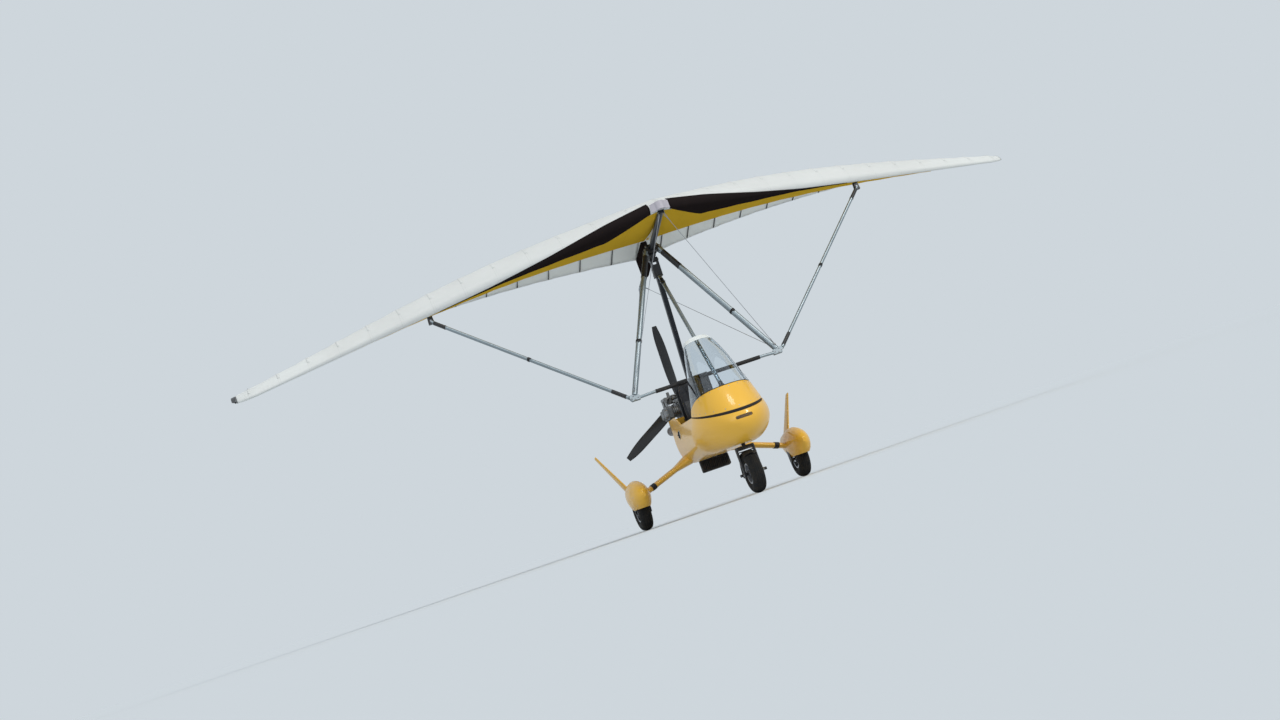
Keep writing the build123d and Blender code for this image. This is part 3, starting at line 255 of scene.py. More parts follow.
class Shape:
    """Points and faces of one piece, gathered from several forms."""

    def __init__(self):
        self.points = []
        self.faces = []

    def grid(self, rows, ring=False, loop=False, caps=False):
        """Faces between rows of points. ring closes each row, loop joins the last row to the first."""
        start = len(self.points)
        wide = len(rows[0])
        for row in rows:
            self.points += [Vector(p) for p in row]
        steps = len(rows) if loop else len(rows) - 1
        for i in range(steps):
            for j in range(wide if ring else wide - 1):
                a = start + i * wide + j
                b = start + i * wide + (j + 1) % wide
                c = start + (i + 1) % len(rows) * wide + (j + 1) % wide
                d = start + (i + 1) % len(rows) * wide + j
                self.faces.append((a, b, c, d))
        if caps:
            last = start + (len(rows) - 1) * wide
            self.faces.append(tuple(range(start + wide - 1, start - 1, -1)))
            self.faces.append(tuple(range(last, last + wide)))

    def turned(self, profile, centre, axis, sides=32, caps=False):
        """Rows of (along the axis, radius) turned round it."""
        axis = Vector(axis).normalized()
        across = axis.orthogonal().normalized()
        other = axis.cross(across)
        rows = []
        for reach, radius in profile:
            rows.append([Vector(centre) + axis * reach + radius * (cos(t) * across + sin(t) * other)
                         for t in (2 * pi * k / sides for k in range(sides))])
        self.grid(rows, ring=True, caps=caps)

    def tube(self, path, radius, sides=12):
        """A round bar along a line of points, capped."""
        path = [Vector(p) for p in path]
        radii = radius if isinstance(radius, list) else [radius] * len(path)
        across = (path[1] - path[0]).orthogonal().normalized()
        rows = []
        for index, point in enumerate(path):
            before = path[max(index - 1, 0)]
            after = path[min(index + 1, len(path) - 1)]
            ahead = (after - before).normalized()
            across = (across - across.dot(ahead) * ahead).normalized()
            other = ahead.cross(across)
            rows.append([point + radii[index] * (cos(t) * across + sin(t) * other)
                         for t in (2 * pi * k / sides for k in range(sides))])
        self.grid(rows, ring=True, caps=True)

    def bolt(self, place, axis, radius, height):
        """A hexagon head on its washer."""
        washer_radius, washer_top = radius * 1.45, 0.0015
        self.turned([(0, washer_radius), (washer_top, washer_radius)], place, axis, 20, caps=True)
        self.turned([(washer_top, radius), (height, radius), (height + 0.001, radius * 0.85)],
                    place, axis, 6, caps=True)

    def sleeve(self, start, end, wide, deep, side, grow=0.0018, sides=36):
        """An oval sleeve that hugs a bar from start to end."""
        start, end = Vector(start), Vector(end)
        ahead = (end - start).normalized()
        across = (Vector(side) - Vector(side).dot(ahead) * ahead).normalized()
        other = ahead.cross(across)
        long = (end - start).length
        lip, round_over = 0.0003, 0.0015
        rows = []
        for reach, out in ((0, lip), (round_over, grow), (long - round_over, grow), (long, lip)):
            rows.append([start + ahead * reach
                         + (wide + out) * cos(t) * across + (deep + out) * sin(t) * other
                         for t in (2 * pi * k / sides for k in range(sides))])
        self.grid(rows, ring=True)

    def ribbon(self, path, width, side, thick=0.0024):
        """A strap along a path, its width along the side vector."""
        path = [Vector(p) for p in path]
        rows = []
        for before, point, after in zip([path[0], *path], path, [*path[1:], path[-1]]):
            ahead = (after - before).normalized()
            across = (Vector(side) - Vector(side).dot(ahead) * ahead).normalized()
            out = ahead.cross(across) * thick / 2
            across = across * width / 2
            rows.append([point - across - out, point + across - out,
                         point + across + out, point - across + out])
        self.grid(rows, ring=True, caps=True)

    def block(self, middle, right, up, deep):
        """A box from its middle and three half-size vectors."""
        middle, right, up, deep = (Vector(v) for v in (middle, right, up, deep))
        rows = [[middle + k * deep + i * right + j * up for i, j in ((-1, -1), (1, -1), (1, 1), (-1, 1))]
                for k in (-1, 1)]
        self.grid(rows, ring=True, caps=True)

    def piece(self, name, finish, body, smooth=40, bevel=0.0, thick=0.0, replaces=()):
        """Makes the object, gives it its finish and rides it on its body."""
        mesh = bpy.data.meshes.new(name)
        mesh.from_pydata([tuple(p) for p in self.points], [], self.faces)
        mesh.validate()
        rebuilt = bmesh.new()
        rebuilt.from_mesh(mesh)
        bmesh.ops.recalc_face_normals(rebuilt, faces=rebuilt.faces)
        rebuilt.to_mesh(mesh)
        rebuilt.free()
        mesh.polygons.foreach_set("use_smooth", [True] * len(mesh.polygons))
        mesh.set_sharp_from_angle(angle=radians(smooth))
        made = bpy.data.objects.new(name, mesh)
        bpy.context.scene.collection.objects.link(made)
        mesh.materials.append(finishes[finish].material)
        if thick:
            skin = made.modifiers.new("cloth", "SOLIDIFY")
            skin.thickness = thick
            skin.offset = 0
        if bevel:
            edge = made.modifiers.new("soft edges", "BEVEL")
            edge.width = bevel
            edge.segments = 2
            edge.limit_method = "ANGLE"
        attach(made, body)
        if replaces:
            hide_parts(*replaces)
        return made


def smooth_path(points, steps=6):
    """Points of a smooth curve through the given ones."""
    points = [Vector(p) for p in points]
    points = [2 * points[0] - points[1], *points, 2 * points[-1] - points[-2]]
    path = []
    for a, b, c, d in zip(points, points[1:], points[2:], points[3:]):
        for k in range(steps):
            t = k / steps
            path.append(0.5 * (2 * b + (c - a) * t + (2 * a - 5 * b + 4 * c - d) * t * t
                               + (3 * b - a - 3 * c + d) * t ** 3))
    return path + [points[-2]]


def mesh_surface(mesh):
    return BVHTree.FromPolygons([v.co for v in mesh.vertices], [tuple(f.vertices) for f in mesh.polygons])


@functools.cache
def node_surface(node):
    return mesh_surface(frame["nodes"][node].data)


def on_surface(node, start, target):
    """Where the line from start to target meets a node, and the surface's direction there."""
    run = Vector(target) - Vector(start)
    place, normal = node_surface(node).ray_cast(Vector(start), run.normalized())[:2]
    if place is not None and normal.dot(run) > 0:
        normal = -normal
    return place, normal


# The wing's own frame: x to the left, aft from the hang bolt, up square to the keel tube

rest_pitch = radians(11.6)
hang_bolt = pivots["wing_pitch"]
wing_aft = Vector((0, cos(rest_pitch), -sin(rest_pitch)))
wing_up = Vector((0, sin(rest_pitch), cos(rest_pitch)))
half_span = 4.5
nose_reach = 1.150
sweep_slope = 0.5
half_length = 1.630         # the tips' trailing corners stand this far aft of the middle
root_chord = 1.850
edge_height, edge_rise = 0.120, 0.120
root_twist, tip_twist = 5.0, 27.0
washout_bend = 1.25
root_crown, tip_crown = 0.100, 0.080
billow = 0.075              # the crown stands this much higher at mid span
rake_places = (4.25, 4.345, 4.40, 4.44, 4.50)
rake_shares = (0, 0.055, 0.115, 0.167, 0.50)        # the raked tip cuts this share off the chord's front
keel_height = 0.090


def wing_point(x, aft, up):
    return hang_bolt + Vector((x, 0, 0)) + aft * wing_aft + up * wing_up


def edge_aft(x):
    return -nose_reach + sweep_slope * abs(x)


tip_chord = (half_length - hang_bolt.y - edge_aft(half_span) * cos(rest_pitch)
             - (edge_height + edge_rise) * sin(rest_pitch)) / cos(radians(tip_twist) - rest_pitch)


def chord(x):
    return root_chord + (tip_chord - root_chord) * abs(x) / half_span


def crown_height(x):
    span_share = abs(x) / half_span
    return root_crown + (tip_crown - root_crown) * span_share + billow * sin(pi * span_share)


def sail_point(x, share, height):
    """Point of the sail's section at x, in shares of the chord from the leading edge and up."""
    span_share = abs(x) / half_span
    turn = radians(root_twist + (tip_twist - root_twist) * (1 - (1 - span_share) ** washout_bend))
    size = chord(x)
    cut = float(np.interp(abs(x), rake_places, rake_shares))
    share, height = cut + (1 - cut) * share, (1 - cut) * height
    aft = edge_aft(x) + size * (share * cos(turn) - height * sin(turn))
    up = edge_height + edge_rise * span_share + size * (share * sin(turn) + height * cos(turn))
    return wing_point(x, aft, up)


def arc_points(first, middle, last, steps):
    """Points on the round arc through three points of a plane."""
    a, b, c = complex(*first), complex(*middle), complex(*last)
    w = (c - a) / (b - a)
    centre = a - (a - b) * (w - abs(w) ** 2) / (2j * w.imag)
    half = cmath.phase((b - centre) / (a - centre))
    whole = cmath.phase((c - centre) / (a - centre))
    if whole * half < 0:
        whole += math.copysign(2 * pi, half)
    turned = [centre + (a - centre) * cmath.exp(1j * whole * k / steps) for k in range(steps + 1)]
    return [(p.real, p.imag) for p in turned]


# Sail section in shares of the chord, as arcs
seam_share = 0.700          # the lower cloth is sewn up to the top cloth here
edge_foot = (0.018, -0.016)
lower_profile = arc_points(edge_foot, (0.42, -0.012), (seam_share, 0.020), 32)
tucked_points = [(0.07, -0.0150), (0.045, -0.0155)]     # the top cloth goes on under the lower one
nose_steps, front_steps, rear_steps = 12, 14, 24
nose_end = len(tucked_points) + nose_steps + 1
front_end = nose_end + front_steps
brow_share, brow_rise = 0.022, 0.325    # the leading edge's round ends here, at this share of the crown


@functools.cache
def upper_profile(x):
    """The top cloth's section, from under the leading edge over the crown to the trailing edge."""
    top = crown_height(x)
    brow, crown = (brow_share, brow_rise * top), (0.30, top)
    nose_height = (brow[1] + edge_foot[1]) / 2
    arcs = [(edge_foot, (0.003, nose_height), brow, nose_steps),
            (brow, (0.13, 0.825 * top), crown, front_steps),
            (crown, (0.62, 0.75 * top), (1.0, 0.004), rear_steps)]
    profile = list(tucked_points)
    for number, (first, middle, last, steps) in enumerate(arcs):
        profile += arc_points(first, middle, last, steps)[1 if number else 0:]
    return profile


def top_height(x, share):
    line = upper_profile(x)[nose_end:]
    return float(np.interp(share, [p[0] for p in line], [p[1] for p in line]))


def lower_height(share):
    return float(np.interp(share, [p[0] for p in lower_profile], [p[1] for p in lower_profile]))


# Battens run fore and aft across each half; the cloth is slack between them
batten_spacing = 0.335
first_batten = 0.28
batten_count = 13
battens = [first_batten + batten_spacing * i for i in range(batten_count)]
sail_root, sail_end = 0.006, 4.452
bays = [sail_root, *battens, sail_end]
bay_steps = 8
columns = [a + (b - a) * k / bay_steps for a, b in zip(bays, bays[1:]) for k in range(bay_steps)]
columns.append(sail_end)
cloth_slack = 0.006         # how far the top cloth sags between battens
belly_slack = 0.004         # and the lower cloth
crease_depth = 0.0012
crease_turns = (31, 9)      # in radians, for a metre of span and for a chord
hollow, hollow_start = 0.016, 0.88      # the trailing edge curves in between battens, from this share on
held_share, free_share = 0.03, 0.28     # the cloth is held up to the first and free from the second
tuck_start, tuck_length = seam_share - 0.05, 0.075      # the lower cloth's rear edge turns up here
seam_gap = 0.0035


def slack_at(x):
    """0 at a batten, 1 midway between two."""
    for a, b in zip(bays, bays[1:]):
        if a <= x <= b:
            return sin(pi * (x - a) / (b - a))
    return 0


def pulled(share):
    """How free the cloth is at a share of the chord: held at the leading edge, free behind it."""
    return max(0.0, min(1.0, (share - held_share) / (free_share - held_share)))


def upper_cloth_point(x, share, height, lift=0.0):
    slack = slack_at(x)
    size = chord(x)
    crease = crease_depth * sin(crease_turns[0] * x + crease_turns[1] * share) * pulled(share)
    drop = (cloth_slack * slack * pulled(share) * sin(pi * min(share, 1.0)) + crease - lift) / size
    edge_pull = hollow / size * slack * max(0.0, (share - hollow_start) / (1 - hollow_start))
    return sail_point(x, share - edge_pull, height - drop)


def lower_cloth_point(x, share, lift=0.0):
    """Lower cloth, bellied downwards between the battens, its rear edge sewn up to the top cloth."""
    size = chord(x)
    rise = max(0.0, (share - tuck_start) / tuck_length)
    low = lower_height(share)
    height = low + (top_height(x, share) - seam_gap / size - low) * min(rise, 1) ** 2
    span = min(share / (tuck_start + tuck_length), 1)
    belly = (belly_slack * slack_at(x) * sin(pi * span) + lift) / size
    return sail_point(x, share, height - belly)


# Finishes, one for each of the record's slots

def sailcloth(name, colour, dirt_colour, sheer, gleam=0.4):
    """Woven polyester: a fine check of strong threads, stitched pockets, a little dirt, light through it."""
    finish = Finish(name)
    x = abs(finish.axis(finish.place(), "X"))
    aft = finish.along(wing_aft, hang_bolt)
    check_pitch, thread = 0.008, 0.0012
    check = ((x % check_pitch) < thread) + ((aft % check_pitch) < thread)
    pocket_half, stitch_half, stitch_pitch, stitch_length = 0.012, 0.0011, 0.006, 0.004
    off_batten = abs((x - first_batten + pocket_half) % batten_spacing - pocket_half)
    stitches = (abs(off_batten - pocket_half) < stitch_half) * ((aft % stitch_pitch) < stitch_length)
    cloudy = finish.noise(1.6, 4).fade(0.35, 0.75)
    grime = finish.noise(14, 5, (1, 0.4, 1)).fade(0.52, 0.80)
    cloth = finish.mix(colour, dirt_colour, cloudy * 0.10 + grime * 0.07 + check * 0.05)
    finish.set({
        "Base Color": finish.mix(cloth, dirt_colour, stitches * 0.7),
        "Roughness": 0.50 + grime * 0.15,
        "Specular IOR Level": gleam,
    })
    finish.bump(finish.noise(3, 1, (1, 2.2, 1)), 0.004, 0.15)
    through = finish.node("ShaderNodeBsdfTranslucent", {}, {"Color": colour})
    both = finish.node("ShaderNodeMixShader", {},
                       {0: sheer, 1: Wire(finish, finish.shader.outputs[0]), 2: through})
    finish.feed(finish.tree.nodes["Material Output"], {"Surface": both})
    return finish


road_dust, grey_dust = tint(146, 112, 54), tint(104, 100, 92)


def gloss_paint(name, colour, shade_colour):
    """Lacquered glass fibre: faint orange peel, road dust low down and fine scratches in the lacquer."""
    finish = Finish(name)
    low = 1 - finish.axis(finish.place(), "Z").fade(0.15, 0.70)
    dust = finish.noise(11, 5).fade(0.45, 0.75) * low
    mottle = finish.noise(2.2, 3).fade(0.3, 0.8)
    scratch = finish.noise(90, 2, (1, 0.06, 1)).fade(0.62, 0.72)
    lacquer = finish.mix(colour, shade_colour, mottle * 0.16)
    finish.set({
        "Base Color": finish.mix(lacquer, road_dust, dust * 0.22),
        "Roughness": 0.42 + dust * 0.2 + scratch * 0.05,
        "Coat Weight": 0.50 - dust * 0.3,
        "Coat Roughness": 0.10,
        "Specular IOR Level": 0.3,
    })
    finish.bump(finish.noise(420, 2), 0.00025, 0.25)
    return finish


def shaded(colour, share):
    """A darker shade of a colour."""
    return tuple(share * part for part in colour[:3]) + (1.0,)


def drawn_metal(name, colour, rough, metallic=1.0, grain=(1, 1, 0.05)):
    """Drawn or anodised tube: fine lengthwise grain, dull patches from handling."""
    finish = Finish(name)
    lines = finish.noise(60, 3, grain)
    patches = finish.noise(7, 4).fade(0.42, 0.72)
    finish.set({
        "Base Color": finish.mix(colour, shaded(colour, 0.72), patches * 0.16 + lines * 0.06),
        "Metallic": metallic,
        "Roughness": rough + patches * 0.10 + lines * 0.04,
    })
    finish.bump(lines, 0.0003, 0.04)
    return finish


def worn_paint(name, colour, bare_colour, rough=0.42):
    """Powder coat over metal, rubbed through in small spots, with dust in the pores."""
    finish = Finish(name)
    spots = finish.noise(38, 6).fade(0.66, 0.72)
    dusty = finish.noise(9, 4).fade(0.45, 0.8)
    coat = finish.mix(colour, grey_dust, dusty * 0.14)
    finish.set({
        "Base Color": finish.mix(coat, bare_colour, spots * 0.7),
        "Metallic": spots * 0.8,
        "Roughness": rough + dusty * 0.2,
    })
    finish.bump(finish.noise(700, 2), 0.0004, 0.3)
    return finish


def cast_metal(name, colour, dark_colour):
    """Sand-cast alloy with oil and heat stains."""
    finish = Finish(name)
    stains = finish.noise(13, 5).fade(0.45, 0.75)
    finish.set({
        "Base Color": finish.mix(colour, dark_colour, stains * 0.7),
        "Metallic": 0.85 - stains * 0.5,
        "Roughness": 0.46 + stains * 0.25,
    })
    finish.bump(finish.noise(340, 4) + stains * 0.3, 0.0007, 0.5)
    return finish


def smoked_acrylic(name, colour):
    """Blown, lightly smoked acrylic with hairline scratches and a film of dust at its foot."""
    finish = Finish(name)
    scratch = finish.noise(160, 2, (1, 1, 0.08)).fade(0.66, 0.72)
    film = (1 - finish.axis(finish.place(), "Z").fade(1.06, 1.30)) * finish.noise(12, 4).fade(0.4, 0.8)
    finish.set({
        "Base Color": colour,
        "Roughness": scratch * 0.12 + film * 0.06,
        "Transmission Weight": 1.0,
        "IOR": 1.49,
        "Coat Weight": 0.0,
    })
    return finish


def rubber(name, colour, dust_colour, rough=0.75, grain=240):
    """Moulded rubber, browned by dust."""
    finish = Finish(name)
    dust = finish.noise(18, 5).fade(0.42, 0.74)
    finish.set({
        "Base Color": finish.mix(colour, dust_colour, dust * 0.40),
        "Roughness": rough + dust * 0.15,
        "Specular IOR Level": 0.35,
    })
    finish.bump(finish.noise(grain, 3), 0.0005, 0.4)
    return finish


def seat_fabric(name, colour, light_colour):
    """Coarse black weave over foam, paler where it is rubbed."""
    finish = Finish(name)
    place = finish.place()
    pitch = 0.0026
    warp = ((finish.axis(place, "X") % pitch) < pitch / 2) * 1.0
    weft = (((finish.axis(place, "Y") + finish.axis(place, "Z")) % pitch) < pitch / 2) * 1.0
    over = abs(warp - weft)
    rubbed = finish.noise(7, 4).fade(0.46, 0.78)
    finish.set({
        "Base Color": finish.mix(colour, light_colour, over * 0.35 + rubbed * 0.40),
        "Roughness": 0.82 - rubbed * 0.1,
        "Sheen Weight": 0.5,
        "Sheen Roughness": 0.45,
    })
    finish.bump(over + finish.noise(30, 3) * 2.0, 0.0006, 0.6)
    return finish


def moulded_plastic(name, colour, rough, see_through=0.0):
    """Moulded plastic with scuff marks and a fine grain."""
    finish = Finish(name)
    marks = finish.noise(26, 5).fade(0.5, 0.8)
    finish.set({
        "Base Color": finish.mix(colour, shaded(colour, 0.8), marks * 0.5),
        "Roughness": rough + marks * 0.12,
        "Subsurface Weight": see_through,
        "Subsurface Radius": (0.02, 0.02, 0.015),
    })
    finish.bump(finish.noise(520, 2), 0.0003, 0.3)
    return finish


recipes = {
    "sail_white": (sailcloth, tint(236, 238, 236), tint(176, 178, 174), 0.30),
    "sail_yellow": (sailcloth, tint(224, 184, 56), tint(176, 140, 42), 0.22, 0.0),
    "sail_black": (sailcloth, tint(34, 29, 29), tint(52, 46, 44), 0.0, 0.0),
    # the screen's top lip in pale greenish white: partly a trim's own colour, partly a painted highlight where the
    # bent acrylic edge catches the light
    "lip": (moulded_plastic, tint(224, 230, 230), 0.22),
    "nose_grey": (moulded_plastic, tint(172, 168, 176), 0.5),
    "alloy": (drawn_metal, tint(152, 162, 167), 0.44),
    "black_fitting": (worn_paint, tint(26, 27, 30), tint(150, 150, 152)),
    "mast_paint": (drawn_metal, tint(44, 47, 52), 0.36, 0.7),
    "wire": (drawn_metal, tint(160, 162, 166), 0.32),
    "pod_yellow": (gloss_paint, tint(230, 178, 58), tint(212, 158, 42)),
    "screen": (smoked_acrylic, (0.78, 0.85, 0.90, 1.0)),
    "dark_trim": (rubber, tint(24, 24, 26), tint(70, 66, 60), 0.6),
    "seat_cloth": (seat_fabric, tint(24, 26, 31), tint(58, 62, 72)),
    "tank": (moulded_plastic, tint(222, 220, 206), 0.38, 0.3),
    "engine_alloy": (cast_metal, tint(140, 142, 144), tint(52, 48, 44)),
    "exhaust_metal": (cast_metal, tint(126, 120, 116), tint(70, 50, 40)),
    "rim_alloy": (drawn_metal, tint(188, 190, 194), 0.30, 1.0, (1, 1, 1)),
    "tyre": (rubber, tint(18, 19, 20), tint(66, 60, 52), 0.82, 160),
    "blade": (moulded_plastic, tint(32, 33, 36), 0.28),
}
finishes = {name: make(name, *values) for name, (make, *values) in recipes.items()}

for row in frame["record"]["subparts"]:
    node = frame["nodes"][row["node"]]
    node.data.materials.clear()
    node.data.materials.append(finishes[row["material_slot"]].material)


# Sail: stretched cloth over battens, and the black band

sail_sides = {"left": 1, "right": -1}
cloth_thickness = 0.0016
lower_end = 3.42            # the lower cloth ends here, on a slant


def sided(point, side):
    """The point on the wanted half of the wing."""
    return Vector((point.x * side, point.y, point.z))


def make_upper_cloth(name, side):
    shape = Shape()
    shape.grid([[sided(upper_cloth_point(x, share, height), side) for share, height in upper_profile(x)]
                for x in columns])
    sail = shape.piece("top_cloth_" + name, "sail_white", "wing",
                       smooth=60, thick=cloth_thickness, replaces=["sail_" + name])


lower_columns = [x for x in columns if x <= lower_end]
lower_shares = np.linspace(0.035, tuck_start + tuck_length, 41).tolist()
slant_start, slant = 3.1, 0.28      # the lower cloth's outer end runs outwards towards the rear


def slanted_point(x, share, lift=0.0):
    return lower_cloth_point(x + (slant * share if x > slant_start else 0), share, lift)


def make_lower_cloth(name, side):
    shape = Shape()
    shape.grid([[sided(slanted_point(x, share), side) for share in lower_shares] for x in lower_columns])
    sail = shape.piece("under_cloth_" + name, "sail_yellow", "wing",
                       smooth=60, thick=cloth_thickness, replaces=["lower_sail_" + name])


band_start, band_end = 0.100, 2.25
band_rear = ((0.112, 0.52, 1.12, 1.60, 2.00, 2.25),
             (-1.060, -0.500, -0.345, -0.262, -0.1165, 0.000))      # x, aft
band_top = ((0.112, 0.52, 1.12, 1.70, 2.25),
            (0.049, 0.037, 0.008, -0.010, -0.014))                  # x, height on the leading edge
band_rows, band_points, band_lift = 91, 65, 0.0032
under_start, under_points = 0.020, 30       # the band's flat part begins at this share of the chord


def band_line(x):
    """Points down the leading edge, round under it and back, each with the direction out of the cloth."""
    top = float(np.interp(x, *band_top))
    edge = upper_profile(x)[len(tucked_points):front_end]
    front = [(float(np.interp(top, [p[1] for p in edge], [p[0] for p in edge])), top)]
    front += [p for p in reversed(edge) if p[1] < top]
    rear = max((float(np.interp(x, *band_rear)) - edge_aft(x)) / chord(x), under_start + 0.001)
    under = [(share, lower_height(share)) for share in np.linspace(under_start, rear, under_points)]
    shares, heights = np.array(front + under).T
    run = np.concatenate([[0], np.cumsum(np.hypot(np.diff(shares), np.diff(heights)))])
    even = np.linspace(0, run[-1], band_points)
    shares, heights = np.interp(even, run, shares), np.interp(even, run, heights)
    return np.column_stack([shares, heights, np.gradient(heights), -np.gradient(shares)]).tolist()


def make_black_band(name, side):
    shape = Shape()
    rows = []
    for x in np.linspace(band_start, band_end, band_rows).tolist():
        row = []
        for share, height, out_share, out_height in band_line(x):
            if out_height < 0 and share > under_start + 0.002:
                point = lower_cloth_point(x, share, lift=band_lift)
            else:
                far = band_lift / chord(x) / math.hypot(out_share, out_height)
                point = sail_point(x, share + out_share * far, height + out_height * far)
            row.append(sided(point, side))
        rows.append(row)
    shape.grid(rows)
    band = shape.piece("band_" + name, "sail_black", "wing",
                       smooth=60, thick=0.0012, replaces=["leading_band"])


batten_shares = np.linspace(0.05, 0.98, 25).tolist()
rod_depth, rod_radius = 0.0065, 0.0048
pocket_section = ((-0.013, 0.0008), (-0.008, 0.0030), (0, 0.0042), (0.008, 0.0030), (0.013, 0.0008))
tie_share = 0.985
tie_reach, tie_half, cord_radius = 0.014, 0.012, 0.0018


def top_cloth_point(x, share, side, lift):
    """A point on one half's top cloth, lifted off it."""
    return sided(upper_cloth_point(x, share, top_height(x, share), lift), side)


def make_battens(name, side):
    """Batten rods under the top cloth, their pockets on top of it and the ties at the trailing edge."""
    rods, pockets, ties = Shape(), Shape(), Shape()
    for x in battens:
        rods.tube([top_cloth_point(x, share, side, -rod_depth) for share in batten_shares], rod_radius, 8)
        rows = []
        for share in batten_shares[1:]:
            height = top_height(x, share)
            rows.append([sided(upper_cloth_point(x + across, share, height, lift), side)
                         for across, lift in pocket_section])
        pockets.grid(rows)
        tail = sided(sail_point(x, tie_share, top_height(x, tie_share)), side)
        ties.tube([tail - 0.03 * wing_aft, tail + 0.012 * wing_aft], 0.006, 8)
        sideways = Vector((tie_half, 0, 0))
        ties.tube([tail - sideways + 0.004 * wing_aft, tail + tie_reach * wing_aft,
                   tail + sideways + 0.004 * wing_aft], cord_radius, 6)
    rods.piece("battens_" + name, "mast_paint", "wing")
    pockets.piece("batten_pockets_" + name, "sail_white", "wing", smooth=60, thick=0.0008)
    ties.piece("batten_ties_" + name, "dark_trim", "wing")


for name, side in sail_sides.items():
    make_upper_cloth(name, side)
    make_lower_cloth(name, side)
    make_black_band(name, side)
    make_battens(name, side)


# Wing fittings: sleeves and straps on the tubes, bolts, and the stays' thimbles and swages

# Places in the wing's own frame, on its left half.
strut_share = 0.524
strut_x = strut_share * half_span
strut_head = (strut_x, edge_aft(strut_x) + 0.070, edge_height + edge_rise * strut_share - 0.062)
wing_bars = {
    # name: upper end, lower end, half sizes, sleeves as lengths along the bar, straps as shares of it
    "upright": ((0.072, -0.110, 0.064), (0.759, -0.330, -1.397), (0.038, 0.028),
                [(0.05, 0.30)], [0.63]),
    "strut": (strut_head, (0.817, -0.330, -1.404), (0.030, 0.017),
              [(0.03, 0.17), (-0.19, -0.03)], [0.5]),
}
stays = {
    # name: upper end, lower end
    "front": ((0.022, -1.075, 0.066), (0.769, -0.350, -1.392)),
    "rear": ((0.028, 1.005, 0.078), (0.769, -0.310, -1.392)),
}


def sided_place(place, side):
    x, aft, up = place
    return wing_point(side * x, aft, up)


def make_bar_trim(side):
    sleeves, straps = Shape(), Shape()
    for top, foot, (wide, deep), spans, shares in wing_bars.values():
        top, foot = sided_place(top, side), sided_place(foot, side)
        ahead = (foot - top).normalized()
        long = (foot - top).length
        for start, end in spans:
            start, end = (d + long if d < 0 else d for d in (start, end))
            band_ends = top + ahead * (end - 0.018), top + ahead * (end - 0.006)
            sleeves.sleeve(top + ahead * start, top + ahead * end, wide, deep, wing_aft)
            sleeves.sleeve(*band_ends, wide, deep, wing_aft, 0.0032)
        for share in shares:
            middle = top + ahead * long * share
            buckle = middle - wing_aft * (wide + 0.006)
            straps.sleeve(middle - ahead * 0.013, middle + ahead * 0.013, wide, deep, wing_aft, 0.0035)
            straps.block(buckle, Vector((0.012, 0, 0)), ahead * 0.015, wing_aft * 0.004)
    sleeves.piece("tube_sleeves", "black_fitting", "wing")
    straps.piece("tube_straps", "dark_trim", "wing", bevel=0.0008)


swage_line = ((0.036, 0.0042), (0.040, 0.0054), (0.066, 0.0054), (0.070, 0.0042))     # off the eye, radius


def thimble(shape, eye, ahead, side):
    """The stay's eye: a loop of cable, with its swage and cut end beyond it."""
    half_long, half_wide, steps = 0.019, 0.0105, 20
    loop = [eye + ahead * half_long * (1 - cos(t)) + side * half_wide * sin(t)
            for t in (2 * pi * k / steps for k in range(steps + 1))]
    shape.tube(loop, 0.0024, 8)
    shape.tube([eye + ahead * off for off, _ in swage_line], [radius for _, radius in swage_line], 12)
    shape.tube([eye + ahead * 0.066 + side * 0.004, eye + ahead * 0.090 + side * 0.005], 0.0018, 8)


def make_stay_ends(side):
    ends = Shape()
    for head, foot in stays.values():
        head, foot = sided_place(head, side), sided_place(foot, side)
        ahead = (foot - head).normalized()
        across = ahead.cross(wing_up).normalized()
        thimble(ends, head + ahead * 0.012, ahead, across)
        thimble(ends, foot - ahead * 0.030, -ahead, across)
    ends.piece("stay_ends", "wire", "wing")


paired_bolts = [
    # places (x, up), front face and rear face aft of the hang bolt, head's radius and height
    (((0.060, 0.112), (0.094, 0.050), (0.082, 0.084)), -0.140, -0.084, 0.0075, 0.006),
    (((0.732, -1.428), (0.768, -1.440), (0.800, -1.428), (0.778, -1.404)), -0.354, -0.306, 0.0060, 0.005),
    (((strut_x, strut_head[2] + 0.010),), strut_head[1] - 0.0225, strut_head[1] + 0.0225, 0.0065, 0.006),
]
stay_anchors = [
    # bolt's x, aft, up; its plate's x, aft, up; the plate's half height and half length
    ((0.029, 0.970, keel_height), (0.031, 1.000, keel_height - 0.008), 0.010, 0.042),
    ((0.029, -1.060, keel_height - 0.004), (0.030, -1.070, keel_height - 0.018), 0.014, 0.022),
]
hang_block_side, hang_bolt_aft, hang_bolt_up = 0.0475, 0.044, 0.031


def make_wing_bolts():
    bolts, plates = Shape(), Shape()
    for side in (-1, 1):
        out = Vector((side, 0, 0))
        for places, front, rear, radius, height in paired_bolts:
            for x, up in places:
                bolts.bolt(sided_place((x, front, up), side), -wing_aft, radius, height)
                bolts.bolt(sided_place((x, rear, up), side), wing_aft, radius, height)
        for bolt_place, plate_place, half_height, half_length_aft in stay_anchors:
            bolts.bolt(sided_place(bolt_place, side), out, 0.0065, 0.006)
            plates.block(sided_place(plate_place, side), Vector((0.0015, 0, 0)),
                         half_height * wing_up, half_length_aft * wing_aft)
    bolts.piece("wing_bolts", "wire", "wing")
    plates.piece("stay_tangs", "alloy", "wing", bevel=0.0006)


def make_hang_block_bolts():
    bolts = Shape()
    for side in (-1, 1):
        for aft in (-hang_bolt_aft, hang_bolt_aft):
            for up in (-hang_bolt_up, hang_bolt_up):
                place = sided_place((hang_block_side, aft, keel_height + up), side)
                bolts.bolt(place, Vector((side, 0, 0)), 0.0055, 0.005)
    bolts.piece("hang_block_bolts", "wire", "hang_block")


